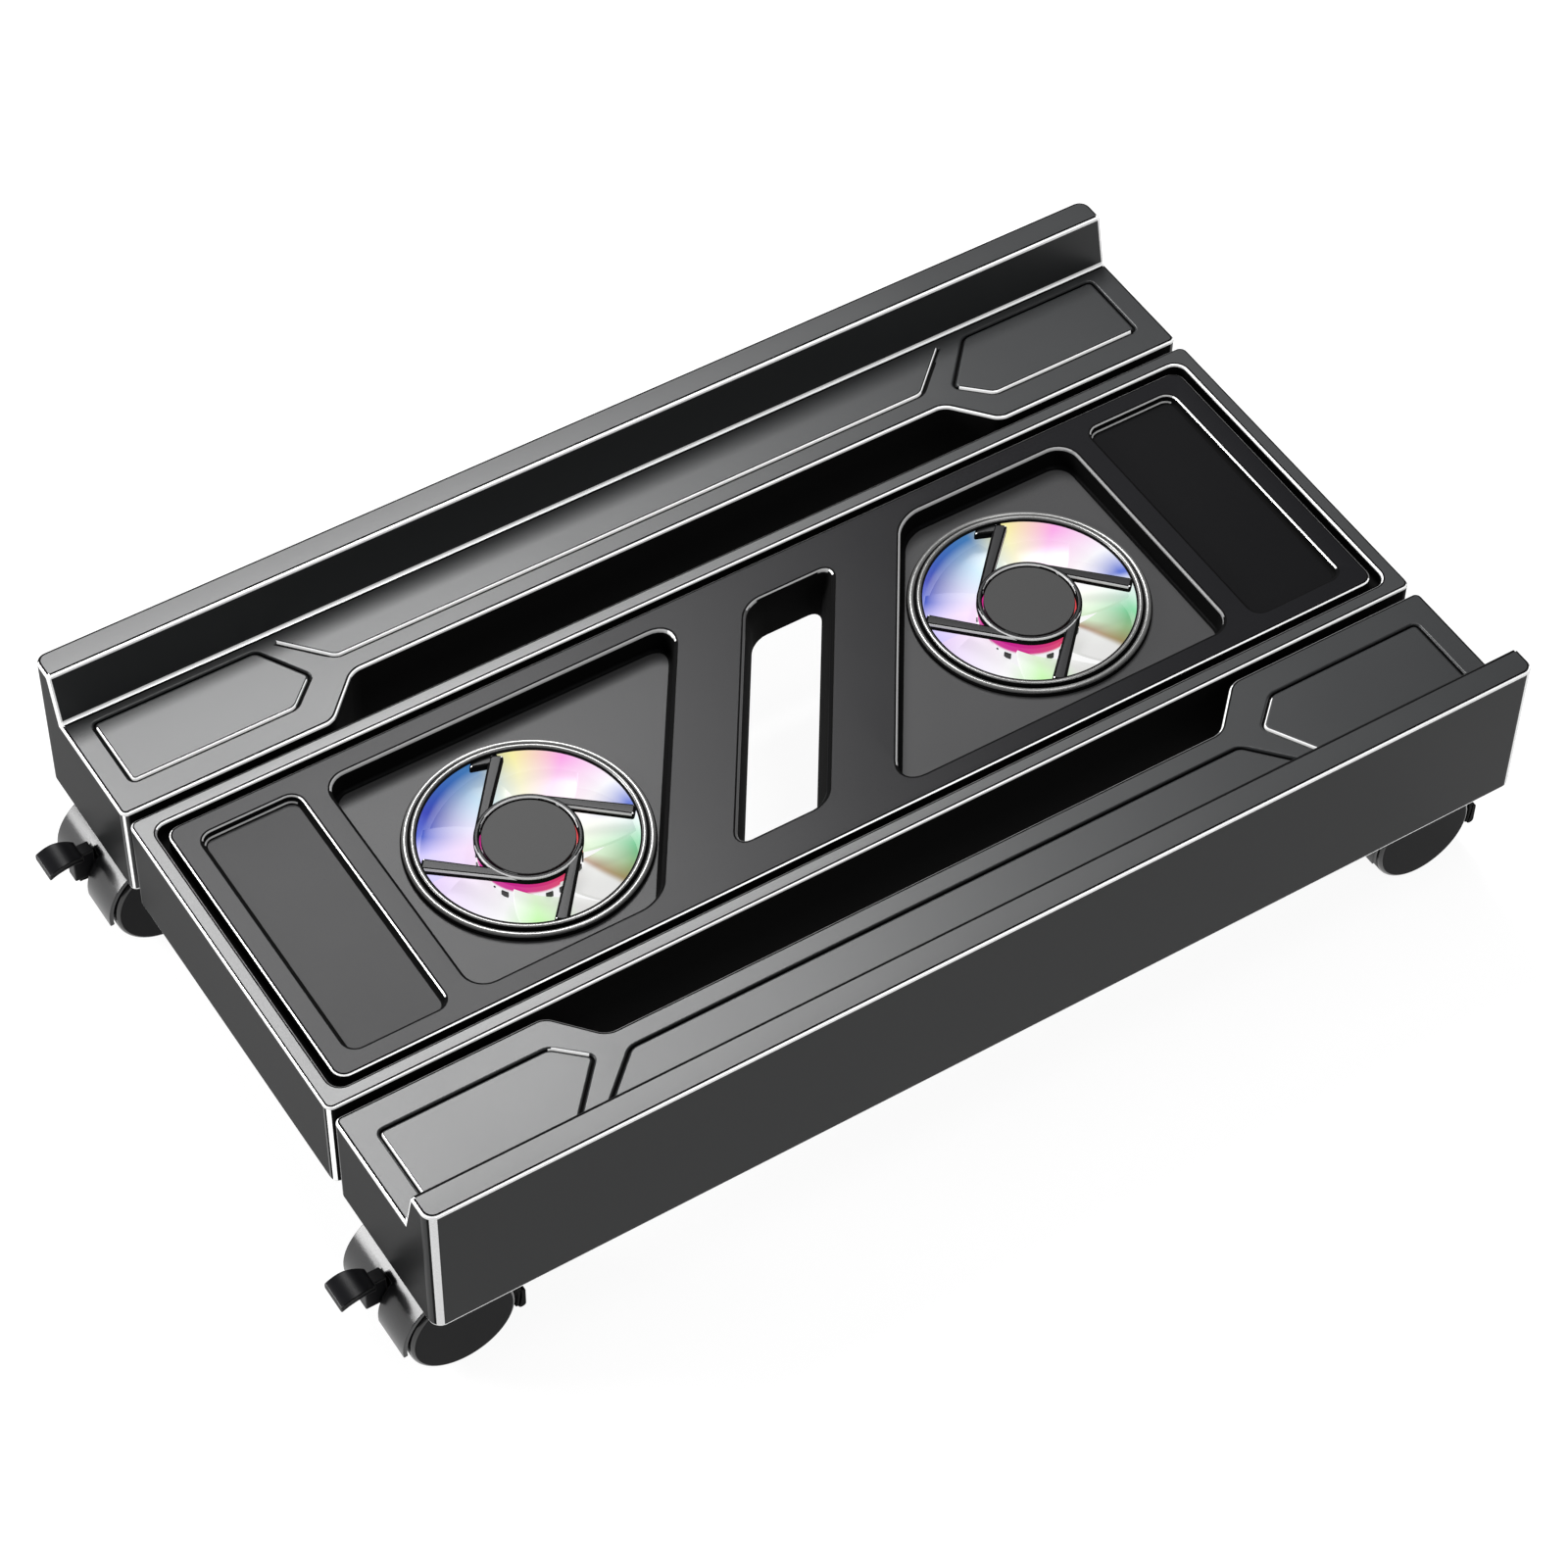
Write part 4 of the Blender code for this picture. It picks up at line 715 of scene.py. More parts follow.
def iridescent(name, centre):
    """Clear acrylic lit from within: hues that follow the angle round the fan, deeper towards the rim.

    Seen from the camera, low parts of a blade show nearer the front, so the hues lean with depth.
    """
    hub_reach, rim_reach, lit_height = 0.0185, 0.0368, DECK.z - 0.0085
    material, surface, place = blank_finish(
        name, roughness=0.30, emission_strength=0.88, specular_ior_level=0.2
    )
    own = place.add("ShaderNodeMapping", None, {"Vector": place, "Location": (-centre[0], -centre[1], 0.0)})
    parts = own.add("ShaderNodeSeparateXYZ", None, {"Vector": own})
    across = Wire(parts.tree, parts.socket.node.outputs["Y"])
    height = Wire(parts.tree, parts.socket.node.outputs["Z"])
    depth = lit_height - height
    x, y = parts - depth * 0.47, across - depth * 0.72
    cloud = own.add("ShaderNodeTexNoise", None, {"Vector": own, "Scale": 30.0, "Detail": 1.0})
    angle = own.maths("ARCTAN2", y, x) * (0.5 / math.pi) + 0.5 + (cloud - 0.5) * 0.03
    flat = own.add("ShaderNodeCombineXYZ", None, {"X": x, "Y": y})
    radius = own.add("ShaderNodeVectorMath", {"operation": "LENGTH"}, {0: flat}, "Value")
    limits = {"Value": radius, "From Min": hub_reach, "From Max": rim_reach}
    rim = own.add("ShaderNodeMapRange", None, limits)
    around = own.add("ShaderNodeCombineXYZ", None, {"X": parts, "Y": across})
    true_radius = own.add("ShaderNodeVectorMath", {"operation": "LENGTH"}, {0: around}, "Value")
    # Near a third of a turn both ramps hold grey stops, which paint the pale floor seen through a gap
    # between blades, and a dark brown stop of painted shade.
    pale = (  # share of a turn and hue, near the hub
        (0.000, (0.96, 0.80, 0.96)),
        (0.128, (0.98, 0.97, 0.98)),
        (0.178, (0.85, 0.97, 0.80)),
        (0.236, (0.75, 0.75, 0.74)),
        (0.319, (0.77, 0.77, 0.76)),
        (0.330, (0.42, 0.24, 0.16)),
        (0.360, (0.75, 0.93, 0.68)),
        (0.480, (0.99, 0.97, 0.94)),
        (0.614, (0.99, 0.82, 0.96)),
        (0.689, (0.99, 0.96, 0.74)),
        (0.800, (0.70, 0.91, 1.00)),
        (0.950, (0.97, 0.78, 0.98)),
    )
    deep = (  # and near the rim
        (0.000, (0.79, 0.64, 0.94)),
        (0.128, (0.95, 0.95, 0.97)),
        (0.178, (0.55, 0.92, 0.42)),
        (0.236, (0.73, 0.73, 0.72)),
        (0.319, (0.73, 0.73, 0.72)),
        (0.330, (0.32, 0.24, 0.10)),
        (0.397, (0.17, 0.60, 0.30)),
        (0.460, (0.90, 0.93, 0.98)),
        (0.478, (0.05, 0.12, 0.62)),
        (0.530, (0.95, 0.96, 1.00)),
        (0.614, (1.00, 0.42, 0.85)),
        (0.689, (0.98, 0.92, 0.40)),
        (0.755, (0.05, 0.20, 0.48)),
        (0.870, (0.01, 0.03, 0.42)),
        (0.915, (0.05, 0.10, 0.58)),
        (0.950, (0.66, 0.60, 0.98)),
    )
    inner = own.add("ShaderNodeValToRGB", {"stops": pale}, {"Fac": angle})
    outer = own.add("ShaderNodeValToRGB", {"stops": deep}, {"Fac": angle})
    blade_hue = rim.maths("POWER", rim, 1.4).mixed(inner, outer)
    band = {"Value": height, "From Min": DECK.z - 0.0170, "From Max": DECK.z - 0.0158}
    upper = own.add("ShaderNodeMapRange", None, band)
    side = own.add("ShaderNodeMapRange", None, {"Value": parts, "From Min": -0.015, "From Max": 0.012})
    glow = side.mixed((0.62, 0.02, 0.30, 1.0), (0.80, 0.07, 0.08, 1.0))
    hub_hue = upper.mixed((0.93, 0.92, 0.95, 1.0), glow)
    hue = radius.maths("LESS_THAN", true_radius, hub_reach).mixed(blade_hue, hub_hue)
    hue.feed(surface, "Emission Color")
    dimming = {"data_type": "RGBA", "blend_type": "MULTIPLY"}
    dimmed = own.add("ShaderNodeMix", dimming, {"Factor": 1.0, 6: hue, 7: (0.10, 0.10, 0.10, 1.0)}, 2)
    dimmed.feed(surface, "Base Color")
    return material


ring_plastic = moulded(
    "ring_gloss_plastic", (0.17, 0.17, 0.167), (0.20, 0.20, 0.197), 0.26, grain=0.0, metallic=0.45
)
strut_plastic = moulded(
    "strut_gloss_plastic",
    (0.018, 0.018, 0.019),
    (0.024, 0.024, 0.025),
    0.34,
    grain=0.03,
    specular_ior_level=0.09,
)
cap_plastic = moulded(
    "cap_matt_plastic", (0.030, 0.030, 0.030), (0.036, 0.036, 0.036), 0.50, specular_ior_level=0.12
)
duct, duct_skin, duct_wall, duct_foot = 0.0389, 0.0009, 0.0021, -0.031
ring_top, ring_foot, ring_radius = -0.0075, -0.0097, 0.0441
inner_bead, inner_bead_radius, groove, groove_floor = 0.0398, 0.0009, 0.0409, -0.0082
outer_bead, outer_bead_radius = 0.0425, 0.0012
opening, lip_under, lip_over = 0.0384, -0.0078, -0.0068
bezel_profile = [(duct + duct_skin, duct_foot), (duct + duct_skin, lip_under)]
bezel_profile += [(opening, lip_under), (opening, lip_over)]
bezel_profile += arc((inner_bead, ring_top + 0.0003), inner_bead_radius, 160.0, 10.0, 10)
bezel_profile += [(groove, groove_floor)]
bezel_profile += arc((outer_bead, ring_top - 0.0011), outer_bead_radius, 155.0, 0.0, 10)
bezel_profile += [(ring_radius, ring_top - 0.0015), (ring_radius, ring_foot)]
bezel_profile += [(duct + duct_wall, ring_foot), (duct + duct_wall, duct_foot)]
sleeve_gap = 0.0001
sleeve_top, sleeve_back = lip_under - sleeve_gap, duct + duct_skin - sleeve_gap
sleeve_profile = [(duct, duct_foot), (duct, sleeve_top)]
sleeve_profile += [(sleeve_back, sleeve_top), (sleeve_back, duct_foot)]

motor, cap, motor_base, motor_edge, cap_drop = 0.0190, 0.0164, 0.003, 0.0009, 0.0008
motor_profile = [(cap + 0.0006, ring_top - motor_base), (motor, ring_top - motor_base)]
motor_profile += arc((motor - motor_edge, ring_top - motor_edge), motor_edge, 0.0, 90.0, 5)
motor_profile += arc((cap + 0.0014, ring_top - cap_drop), cap_drop, 90.0, 180.0, 5)
cap_profile = [(cap, ring_top - motor_base), (cap, ring_top - cap_drop)]
cap_profile += arc((cap - 0.0003, ring_top - cap_drop), 0.0003, 0.0, 90.0, 3)
strut_width, strut_height, strut_edge = 0.0038, 0.0036, 0.0009
hook_back, hook_past, hook_out, hook_lean = 0.0040, 0.0012, 0.0085, 0.0036
strut_angle = 50.0
fan_turns = {"a": 0.0, "b": -5.0}  # how each fan was clipped in, in degrees
bead_gap_near, bead_gap_far, beads_end, glint_reach = 0.0404, 0.0415, 0.0436, 0.031


def unlit_ring(place, normal):
    """Whether a face of the bezel is on a wall, in the groove between the beads or past them."""
    radius = math.hypot(place.x, place.y)
    between_beads = bead_gap_near < radius < bead_gap_far
    return normal.z < 0.30 or radius < duct or between_beads or radius > beads_end


def strut_glint(place, normal):
    """Whether a rounded edge of a strut faces the front and the pedal end, near the motor."""
    facing = 0.25 < normal.z < 0.93 and normal.x * 0.55 + normal.y * 0.83 < -0.2
    return facing and math.hypot(place.x, place.y) < glint_reach


bezel = turned("bezel", bezel_profile, 128)
# Painted shade: the bezel's walls, the groove between the beads and the rim past them in flat black.
marked(bezel, PAINTED_SHADE, unlit_ring)
sleeve = turned("sleeve", sleeve_profile, 128)
disc = turned("disc", cap_profile, 96, closed=False)

spider = turned("spider", motor_profile, 96)
offset = motor - strut_width / 2
reach = math.sqrt((duct + 0.0003) ** 2 - motor**2)
foot = ring_top - strut_height
near, far = offset - strut_width / 2, offset + strut_width / 2
strut = block("strut", (0.0, near, foot), (reach, far, ring_top - 0.0003))
with editing(strut):
    pick(strut, "FACE", lambda place, normal: normal.x > MOSTLY)
    bpy.ops.transform.resize(value=(1.0, 1.30, 1.0), center_override=(reach, offset, 0.0))
hook_end = (reach + hook_past, offset + hook_out, ring_top - 0.0004)
hook = block("hook", (reach - hook_back, offset, foot), hook_end)
with editing(hook):
    pick(hook, "FACE", lambda place, normal: normal.y > MOSTLY)
    bpy.ops.transform.translate(value=(-hook_lean, 0.0, 0.0))
soften(strut, strut_edge)
soften(hook, strut_edge)
turns = [Matrix.Rotation(math.radians(strut_angle + 90.0 * quarter), 4, "Z") for quarter in range(4)]
hook.data.transform(turns[0])
for arm in (*(copied(strut, "strut_copy", turn) for turn in turns), hook):
    carve(spider, [arm], "UNION")
well = turned("well", [(cap + 0.0005, -0.02), (cap + 0.0005, clear_above)], 96, closed=False)
carve(spider, [well])
# Painted shade: all but the tops of the struts and the motor base in flat black.
marked(spider, PAINTED_SHADE, lambda place, normal: normal.z < 0.93)

acrylics, at_fan = {}, {}
for letter, end in (("a", -1), ("b", 1)):
    at_fan[letter] = Matrix.Translation((end * fan_x, 0.0, 0.0))
    acrylics[letter] = iridescent(f"iridescent_acrylic_{letter}", (DECK.x + end * fan_x, 0.0))
    ring = copied(bezel, f"fan_bezel_{letter}", at_fan[letter])
    settle(ring, "deck", ring_plastic, "gunmetal", f"fan_housing_{letter}")
    clear_ring = copied(sleeve, f"fan_light_sleeve_{letter}", at_fan[letter])
    settle(clear_ring, "deck", acrylics[letter], "clear")
    arms = copied(spider, f"fan_spider_{letter}", Matrix.Rotation(math.radians(fan_turns[letter]), 4, "Z"))
    # Painted highlight on the struts' rounded edges that face the front and the pedal end.
    marked(arms, 0.4, strut_glint)
    arms.data.transform(at_fan[letter])
    settle(arms, "deck", strut_plastic, "gunmetal")
    settle(copied(disc, f"fan_cap_{letter}", at_fan[letter]), "deck", cap_plastic, "gunmetal")
for pattern in (bezel, sleeve, disc, spider, strut):
    bpy.data.objects.remove(pattern)


# Impellers: clear acrylic, lit from the hub by coloured lamps, so that each blade shades from hue to hue.
# Seven swept blades and their cup are one moulding, pressed on the motor's shaft.
# Small dark vents in a row round the cup let the motor's heat out.
def rolled(angle):
    """Turns the selection about the upright axis, anticlockwise seen from above."""
    bpy.ops.transform.rotate(value=-angle, orient_axis="Z", center_override=(0.0, 0.0, 0.0))


hub, hub_wall, hub_top, hub_foot, hub_chamfer = 0.0181, 0.0018, -0.0133, -0.0295, 0.001
hub_inside, cup_floor = hub - hub_wall, hub_foot + hub_wall
hub_profile = [(hub_wall, hub_foot), (hub - hub_chamfer, hub_foot), (hub, hub_foot + hub_chamfer)]
hub_profile += [(hub, hub_top), (hub_inside, hub_top), (hub_inside, cup_floor), (hub_wall, cup_floor)]
blade_root, blade_tip, blade_height, blade_skin = hub - hub_wall / 2, duct - 0.0013, 0.0145, 0.0011
blade_arc, blade_sweep, blade_count = math.radians(67.0), math.radians(16.0), 7
vent_count, vent_half, vent_low, vent_high = 22, 0.0013, -0.0200, -0.0176
rows, columns, strip = 12, 10, 0.001
alone()
bpy.ops.mesh.primitive_grid_add(x_subdivisions=columns, y_subdivisions=rows, size=1.0)
blade = bpy.context.object
blade.scale = (blade_tip - blade_root, strip, 1.0)
blade.location = ((blade_tip + blade_root) / 2, 0.0, hub_foot + 0.0008 + blade_height / 2)
fixed()
with editing(blade):
    shape = bmesh.from_edit_mesh(blade.data)
    lines = []
    for row in range(rows + 1):
        share = row / rows - 0.5
        lines.append(([v.index for v in shape.verts if abs(v.co.y - strip * share) < strip / 50], share))
    for points, share in lines:
        pick(blade, "VERT", lambda place: False)
        shape = bmesh.from_edit_mesh(blade.data)
        shape.verts.ensure_lookup_table()
        for point in points:
            shape.verts[point].select_set(True)
        bmesh.update_edit_mesh(blade.data)
        fall = -blade_height * 0.9 * share + blade_height * 0.12 * (1.0 - 4.0 * share * share)
        bpy.ops.transform.translate(value=(0.0, 0.0, fall))
        rolled(blade_arc * share)
    for column in range(1, columns + 1):
        radius = blade_root + (blade_tip - blade_root) * column / columns
        pick(blade, "VERT", lambda place: abs(math.hypot(place.x, place.y) - radius) < 0.0002)
        rolled(blade_sweep * column / columns)
modify(blade, "SOLIDIFY", thickness=blade_skin, offset=0.0)
vent = block("vent", (hub - 0.0004, -vent_half, vent_low), (hub + 0.0005, vent_half, vent_high))


def ringed(piece, count):
    """Copies of a piece, spread evenly round the upright axis."""
    turns = [Matrix.Rotation(math.tau * number / count, 4, "Z") for number in range(count)]
    return [copied(piece, f"{piece.name}_copy", turn) for turn in turns]


impeller = turned("impeller", hub_profile, 64)
carve(impeller, ringed(blade, blade_count), "UNION")
vents = joined(ringed(vent, vent_count))
for letter in ("a", "b"):
    skin = copied(impeller, f"fan_impeller_skin_{letter}", at_fan[letter])
    settle(skin, f"fan_rotor_{letter}", acrylics[letter], "clear", f"fan_impeller_{letter}")
    row = copied(vents, f"fan_vents_{letter}", at_fan[letter])
    settle(row, f"fan_rotor_{letter}", nylon, "nylon")
for pattern in (blade, vent, impeller, vents):
    bpy.data.objects.remove(pattern)


# Motor parts inside the hubs: steel shaft in a bronze sleeve, ferrite ring, wound stator and board.
# They are held between the motor base and the impeller's cup and show only through the clear hub.
bronze = plated("sintered_bronze", (0.56, 0.37, 0.17), 0.42)
copper = plated("enamelled_copper", (0.66, 0.29, 0.13), 0.30)
ferrite = moulded("bonded_ferrite", (0.035, 0.035, 0.037), (0.060, 0.060, 0.062), 0.70, grain=0.4)
board = moulded("board_lacquer", (0.020, 0.160, 0.060), (0.035, 0.230, 0.095), 0.40)
for letter in ("a", "b"):
    dressed(zinc, f"fan_shaft_{letter}")
    dressed(bronze, f"fan_bearing_{letter}")
    dressed(ferrite, f"fan_magnet_{letter}")
    dressed(copper, f"fan_stator_{letter}")
    dressed(board, f"fan_board_{letter}")


# Rails: two long hollow mouldings of the same satin plastic, with a lip that leans outward.
# A long relief runs along the inner edge, fine lines mark panels on top, and ribs stiffen the underside.
(_, rail_inner, _), (_, rail_outer, lip_rise) = measured("rail_back")
lip_foot, lip_crest = 0.0164, 0.0113
lip_y = rail_outer - lip_foot
relief_y, relief_mouth, relief_floor = 0.0910, 0.141, 0.1265
short_mouth, short_floor = 0.1385, 0.1215  # the same two lengths at the pedal end
relief_corner, rail_corner, rail_edge = 0.0030, 0.0045, 0.0013
rail = block("rail_back_shell", (-half_length, rail_inner, -skirt), (half_length, rail_outer, 0.0))
with editing(rail):
    bpy.ops.mesh.select_all(action="SELECT")
    bpy.ops.mesh.bisect(plane_co=(0.0, lip_y, 0.0), plane_no=(0.0, 1.0, 0.0))
    pick(rail, "FACE", lambda place, normal: normal.z > MOSTLY and place.y > lip_y)
    extruded((0.0, 0.0, lip_rise))
    pick(rail, "EDGE", lambda place, run: place.z > lip_rise - TINY and abs(place.y - lip_y) < TINY)
    bpy.ops.transform.translate(value=(0.0, lip_foot - lip_crest, 0.0))
    bpy.ops.mesh.select_all(action="SELECT")
    bpy.ops.mesh.dissolve_limited(angle_limit=0.02)

overrun = 0.004
spread = (relief_mouth - relief_floor) / (relief_y - rail_inner)
mouth = relief_mouth + overrun * spread
relief = block("relief", (-mouth, rail_inner - overrun, clear_below), (mouth, relief_y, 0.03))
with editing(relief):
    pick(relief, "VERT", lambda place: place.x < 0.0)
    bpy.ops.transform.translate(value=(relief_mouth - short_mouth, 0.0, 0.0))
    for side, shift in ((-1, mouth - relief_mouth + short_mouth - short_floor), (1, relief_floor - mouth)):
        pick(relief, "VERT", lambda place: place.y > relief_y - TINY and place.x * side > 0)
        bpy.ops.transform.translate(value=(shift, 0.0, 0.0))
    pick(relief, "EDGE", lambda place, run: abs(run.z) > MOSTLY and place.y > relief_y - TINY)
    bevelled(relief_corner, 6)
carve(rail, [relief])


def upright_at(x, y):
    """A test for the upright edges near one place in plan, on both halves of the rail."""
    def near(place, run):
        return abs(run.z) > MOSTLY and abs(abs(place.x) - x) < 0.001 and abs(place.y - y) < 0.001

    return near


def at_rail_corner(place):
    """Whether a place is on one of the rail's two rounded outer corners."""
    return abs(place.x) > half_length - 0.0040 and place.y > rail_outer - 0.0040


def outer_wall(place, normal):
    """Whether a face is on an upright wall of the rail, past the relief."""
    flat = abs(normal.z) < 0.1 and (abs(normal.x) > 0.99 or abs(normal.y) > 0.99)
    return flat and place.y > relief_y


def relief_wall(place, normal):
    """Whether a face is on an upright wall of the relief or of the inner edge beside it."""
    return place.y < relief_y + TINY and abs(place.x) < half_length - 0.003 and abs(normal.z) < 0.1


with editing(rail):
    for x, y, radius in (
        (half_length, rail_outer, rail_corner),
        (half_length, rail_inner, 0.0025),
        (relief_mouth, rail_inner, relief_corner),
        (short_mouth, rail_inner, relief_corner),
    ):
        pick(rail, "EDGE", upright_at(x, y))
        bevelled(radius, 8)
soften(rail, rail_edge)
# Painted shade darkens the rail's outer walls and end faces and turns the relief's walls flat black; the
# outer corners' rounding is dark with a painted highlight down its middle.
for mark, chosen in (
    (-0.45, outer_wall),
    (-0.45, lambda place, normal: at_rail_corner(place) and rounded(normal, 0.03, 0.99)),
    (-0.9, lambda place, normal: at_rail_corner(place) and rounded(normal, 0.72, 0.86)),
    (0.55, lambda place, normal: at_rail_corner(place) and rounded(normal, 0.18, 0.72)),
    (PAINTED_SHADE, relief_wall),
    (-0.75, lambda place, normal: abs(normal.x) > 0.99 and abs(place.x) > half_length - TINY),
):
    marked(rail, mark, chosen)

rib, first_rib, second_rib, last_rib = 0.002, 0.1477, 0.1809, 0.2185
spans = [relief_floor * step / 4 for step in range(5)]
spans = [(a, b, relief_y) for a, b in zip(spans, spans[1:])]
spans += [(relief_floor, first_rib, relief_y)]
spans += [(first_rib, second_rib, rail_inner), (second_rib, last_rib, rail_inner)]
bays = []
for first, last, inner in spans:
    for side in (-1, 1):
        low = (side * (first + rib / 2), inner + wall, clear_below)
        bays.append(block("bay", low, (side * (last - rib / 2), rail_outer - wall, -wall)))
carve(rail, bays)

caster_x, caster_y = middle_of("caster_socket_back_b")[:2]
screw_y = middle_of("tongue_screw_back_b")[1]
boss_root, boss_foot, socket_boss, socket_bore = -0.001, -0.0390, 0.0088, 0.0065
socket_low, socket_high, screw_boss, screw_bore = -0.0420, -0.0114, 0.0042, 0.0018
screw_low, screw_high = -0.0200, -0.005
bosses, bores = [], []
for end in (-1, 1):
    bosses.append(post(socket_boss, boss_foot, boss_root, end * caster_x, caster_y))
    bores.append(post(socket_bore, socket_low, socket_high, end * caster_x, caster_y))
    bosses.append(post(screw_boss, tongue_top, boss_root, end * tongue_x, screw_y, 32))
    bores.append(post(screw_bore, screw_low, screw_high, end * tongue_x, screw_y, 24))
    bores.append(window(end, rail_inner - 0.003, rail_inner + 0.004))
carve(rail, bosses, "UNION")
carve(rail, bores)

line_width, line_depth, line_rim, line_corner, line_top = 0.0009, 0.0013, 0.0008, 0.0020, 0.003
line_y, middle_line_x, middle_line_y = 0.1166, 0.123, 0.1000
panel_line_x, panel_line_y, panel_line_end = 0.1465, 0.0863, 0.210
apex_y, apex_reach, pointed_to = 0.0970, 0.0115, 0.15  # a panel line's end comes to a point
lines_near, lines_far = 0.080, 0.1205
middle = block(
    "middle_line", (-middle_line_x, middle_line_y, -line_depth), (middle_line_x, line_y, line_top)
)
with editing(middle):
    for side, lean in ((-1, -0.015), (1, 0.018)):
        pick(middle, "VERT", lambda place: place.y > line_y - TINY and place.x * side > 0)
        bpy.ops.transform.translate(value=(lean, 0.0, 0.0))
    pick(middle, "FACE", lambda place, normal: normal.y > MOSTLY)
    bpy.ops.mesh.delete(type="FACE")
panel_line = block(
    "panel_line", (panel_line_x, panel_line_y, -line_depth), (panel_line_end, line_y, line_top)
)
with editing(panel_line):
    pick(panel_line, "EDGE", lambda place, run: abs(run.y) > MOSTLY and place.x < pointed_to)
    bpy.ops.mesh.subdivide(number_cuts=1)
    pick(panel_line, "VERT", lambda place: place.x < pointed_to and 0.09 < place.y < 0.11)
    bpy.ops.transform.translate(value=(-apex_reach, apex_y - (panel_line_y + line_y) / 2, 0.0))
left_line = copied(panel_line, "panel_line_left", Matrix.Scale(-1.0, 4, (1.0, 0.0, 0.0)))
with editing(panel_line):
    pick(panel_line, "VERT", lambda place: place.x < pointed_to and place.y > line_y - TINY)
    bpy.ops.transform.translate(value=(0.006, 0.0, 0.0))
lines = [middle, panel_line, left_line]
for line in lines:
    upright_edges(line, line_corner, 4)
    with editing(line):
        pick(line, "FACE", lambda place, normal: abs(normal.z) > MOSTLY)
        bpy.ops.mesh.delete(type="FACE")
        faced_outward()
    modify(line, "SOLIDIFY", thickness=line_width, offset=0.0, use_even_offset=True)
carve(rail, lines)
with editing(rail):
    bpy.ops.mesh.select_mode(type="EDGE")
    bpy.ops.mesh.select_all(action="DESELECT")
    shape = bmesh.from_edit_mesh(rail.data)
    for line in shape.edges:
        level = all(abs(v.co.z) < TINY and lines_near < v.co.y < lines_far for v in line.verts)
        if level and any(abs(f.normal.z) < 0.3 for f in line.link_faces):
            line.select_set(True)
    bmesh.update_edit_mesh(rail.data)
    bevelled(line_rim, 3)

line_back, line_end = 0.113, 0.2  # past these the lines stay plain
groove_far, groove_end, past_relief, relief_slope = 0.1190, 0.2125, 0.0930, 0.9
between_lines, point_slope, point_near, point_low = 0.1275, 0.75, 0.129, 0.0955
leaning = 0.4  # the share of a normal that counts as facing a side


def in_groove(place):
    """Whether a face of a rail lies in one of its fine lines, and not on the relief's edge."""
    x, y = abs(place.x), abs(place.y)
    sunk = -line_depth - TINY < place.z < -TINY and lines_near < y < groove_far and x < groove_end
    return sunk and (y > past_relief or x > short_mouth - (y - panel_line_y) * relief_slope)


def in_panel_line(place):
    """Whether a place in a fine line belongs to an end panel and not to the middle line."""
    return abs(place.x) > between_lines + abs(abs(place.y) - apex_y) * point_slope


def apex(place):
    """Whether a place is on the lip side of a panel line's pointed end."""
    near_point = point_near < abs(place.x) < pointed_to and point_low < abs(place.y) < line_back
    return near_point and in_panel_line(place)


def plain(place, at_front):
    """Whether a line's rounded edge keeps the rail's own finish."""
    outlying = abs(place.y) > line_back or place.x > line_end
    return in_groove(place) and place.z > -line_rim and (at_front or outlying or apex(place))


def lit(place, normal, at_front):
    """Whether a line's wall gets a painted highlight: those that face the front or the near end."""
    if normal.z > 0.8 or place.y > line_back or place.x > line_end or not in_groove(place):
        return False
    if at_front:
        return normal.x < -leaning and in_panel_line(place) and (place.x > 0.0 or not apex(place))
    near_end = normal.x < -leaning and normal.y < leaning
    return (normal.y < -leaning or near_end) and not apex(place)


def lip_back(place, normal):
    """Whether a face is on the rounded edge at the back of a lip."""
    return place.z > 0.01 and 0.2 < normal.z < level_from and normal.y > 0.3


def inner_corner(place, normal):
    """Whether a face is on the front of a rounded corner beside the deck."""
    beside = abs(place.x) > half_length - 0.003 and place.y < rail_inner + 0.003
    return beside and rounded(normal, 0.55, 0.86)


# Painted light on the fine lines: grooves in painted shade, flat black, with a painted highlight on walls
# that face the front or the near end; painted shade on the lip's back edge and a painted highlight on the
# back rail's inner corners.
marked(rail, PAINTED_SHADE, lambda place, normal: in_groove(place))
front = copied(rail, "rail_front_shell", half_turn)
for shell, at_front in ((rail, False), (front, True)):
    marked(shell, 0.0, lambda place, normal: plain(place, at_front))
    marked(shell, PAINTED_HIGHLIGHT, lambda place, normal: lit(place, normal, at_front))
    marked(shell, -0.8, lip_back)
marked(rail, 0.9, inner_corner)
for shell, side in ((rail, "back"), (front, "front")):
    highlights_dimmed(shell)
    settle(shell, f"rail_{side}", gunmetal, "gunmetal", f"rail_{side}")


# Slide tongues: black nylon bars that run in the deck's guides, so that the rails draw out.
# Each is fixed under its rail by one zinc-plated screw.
for side in ("front", "back"):
    for end in ("a", "b"):
        dressed(nylon, f"slide_tongue_{side}_{end}")
        dressed(zinc, f"tongue_screw_{side}_{end}")


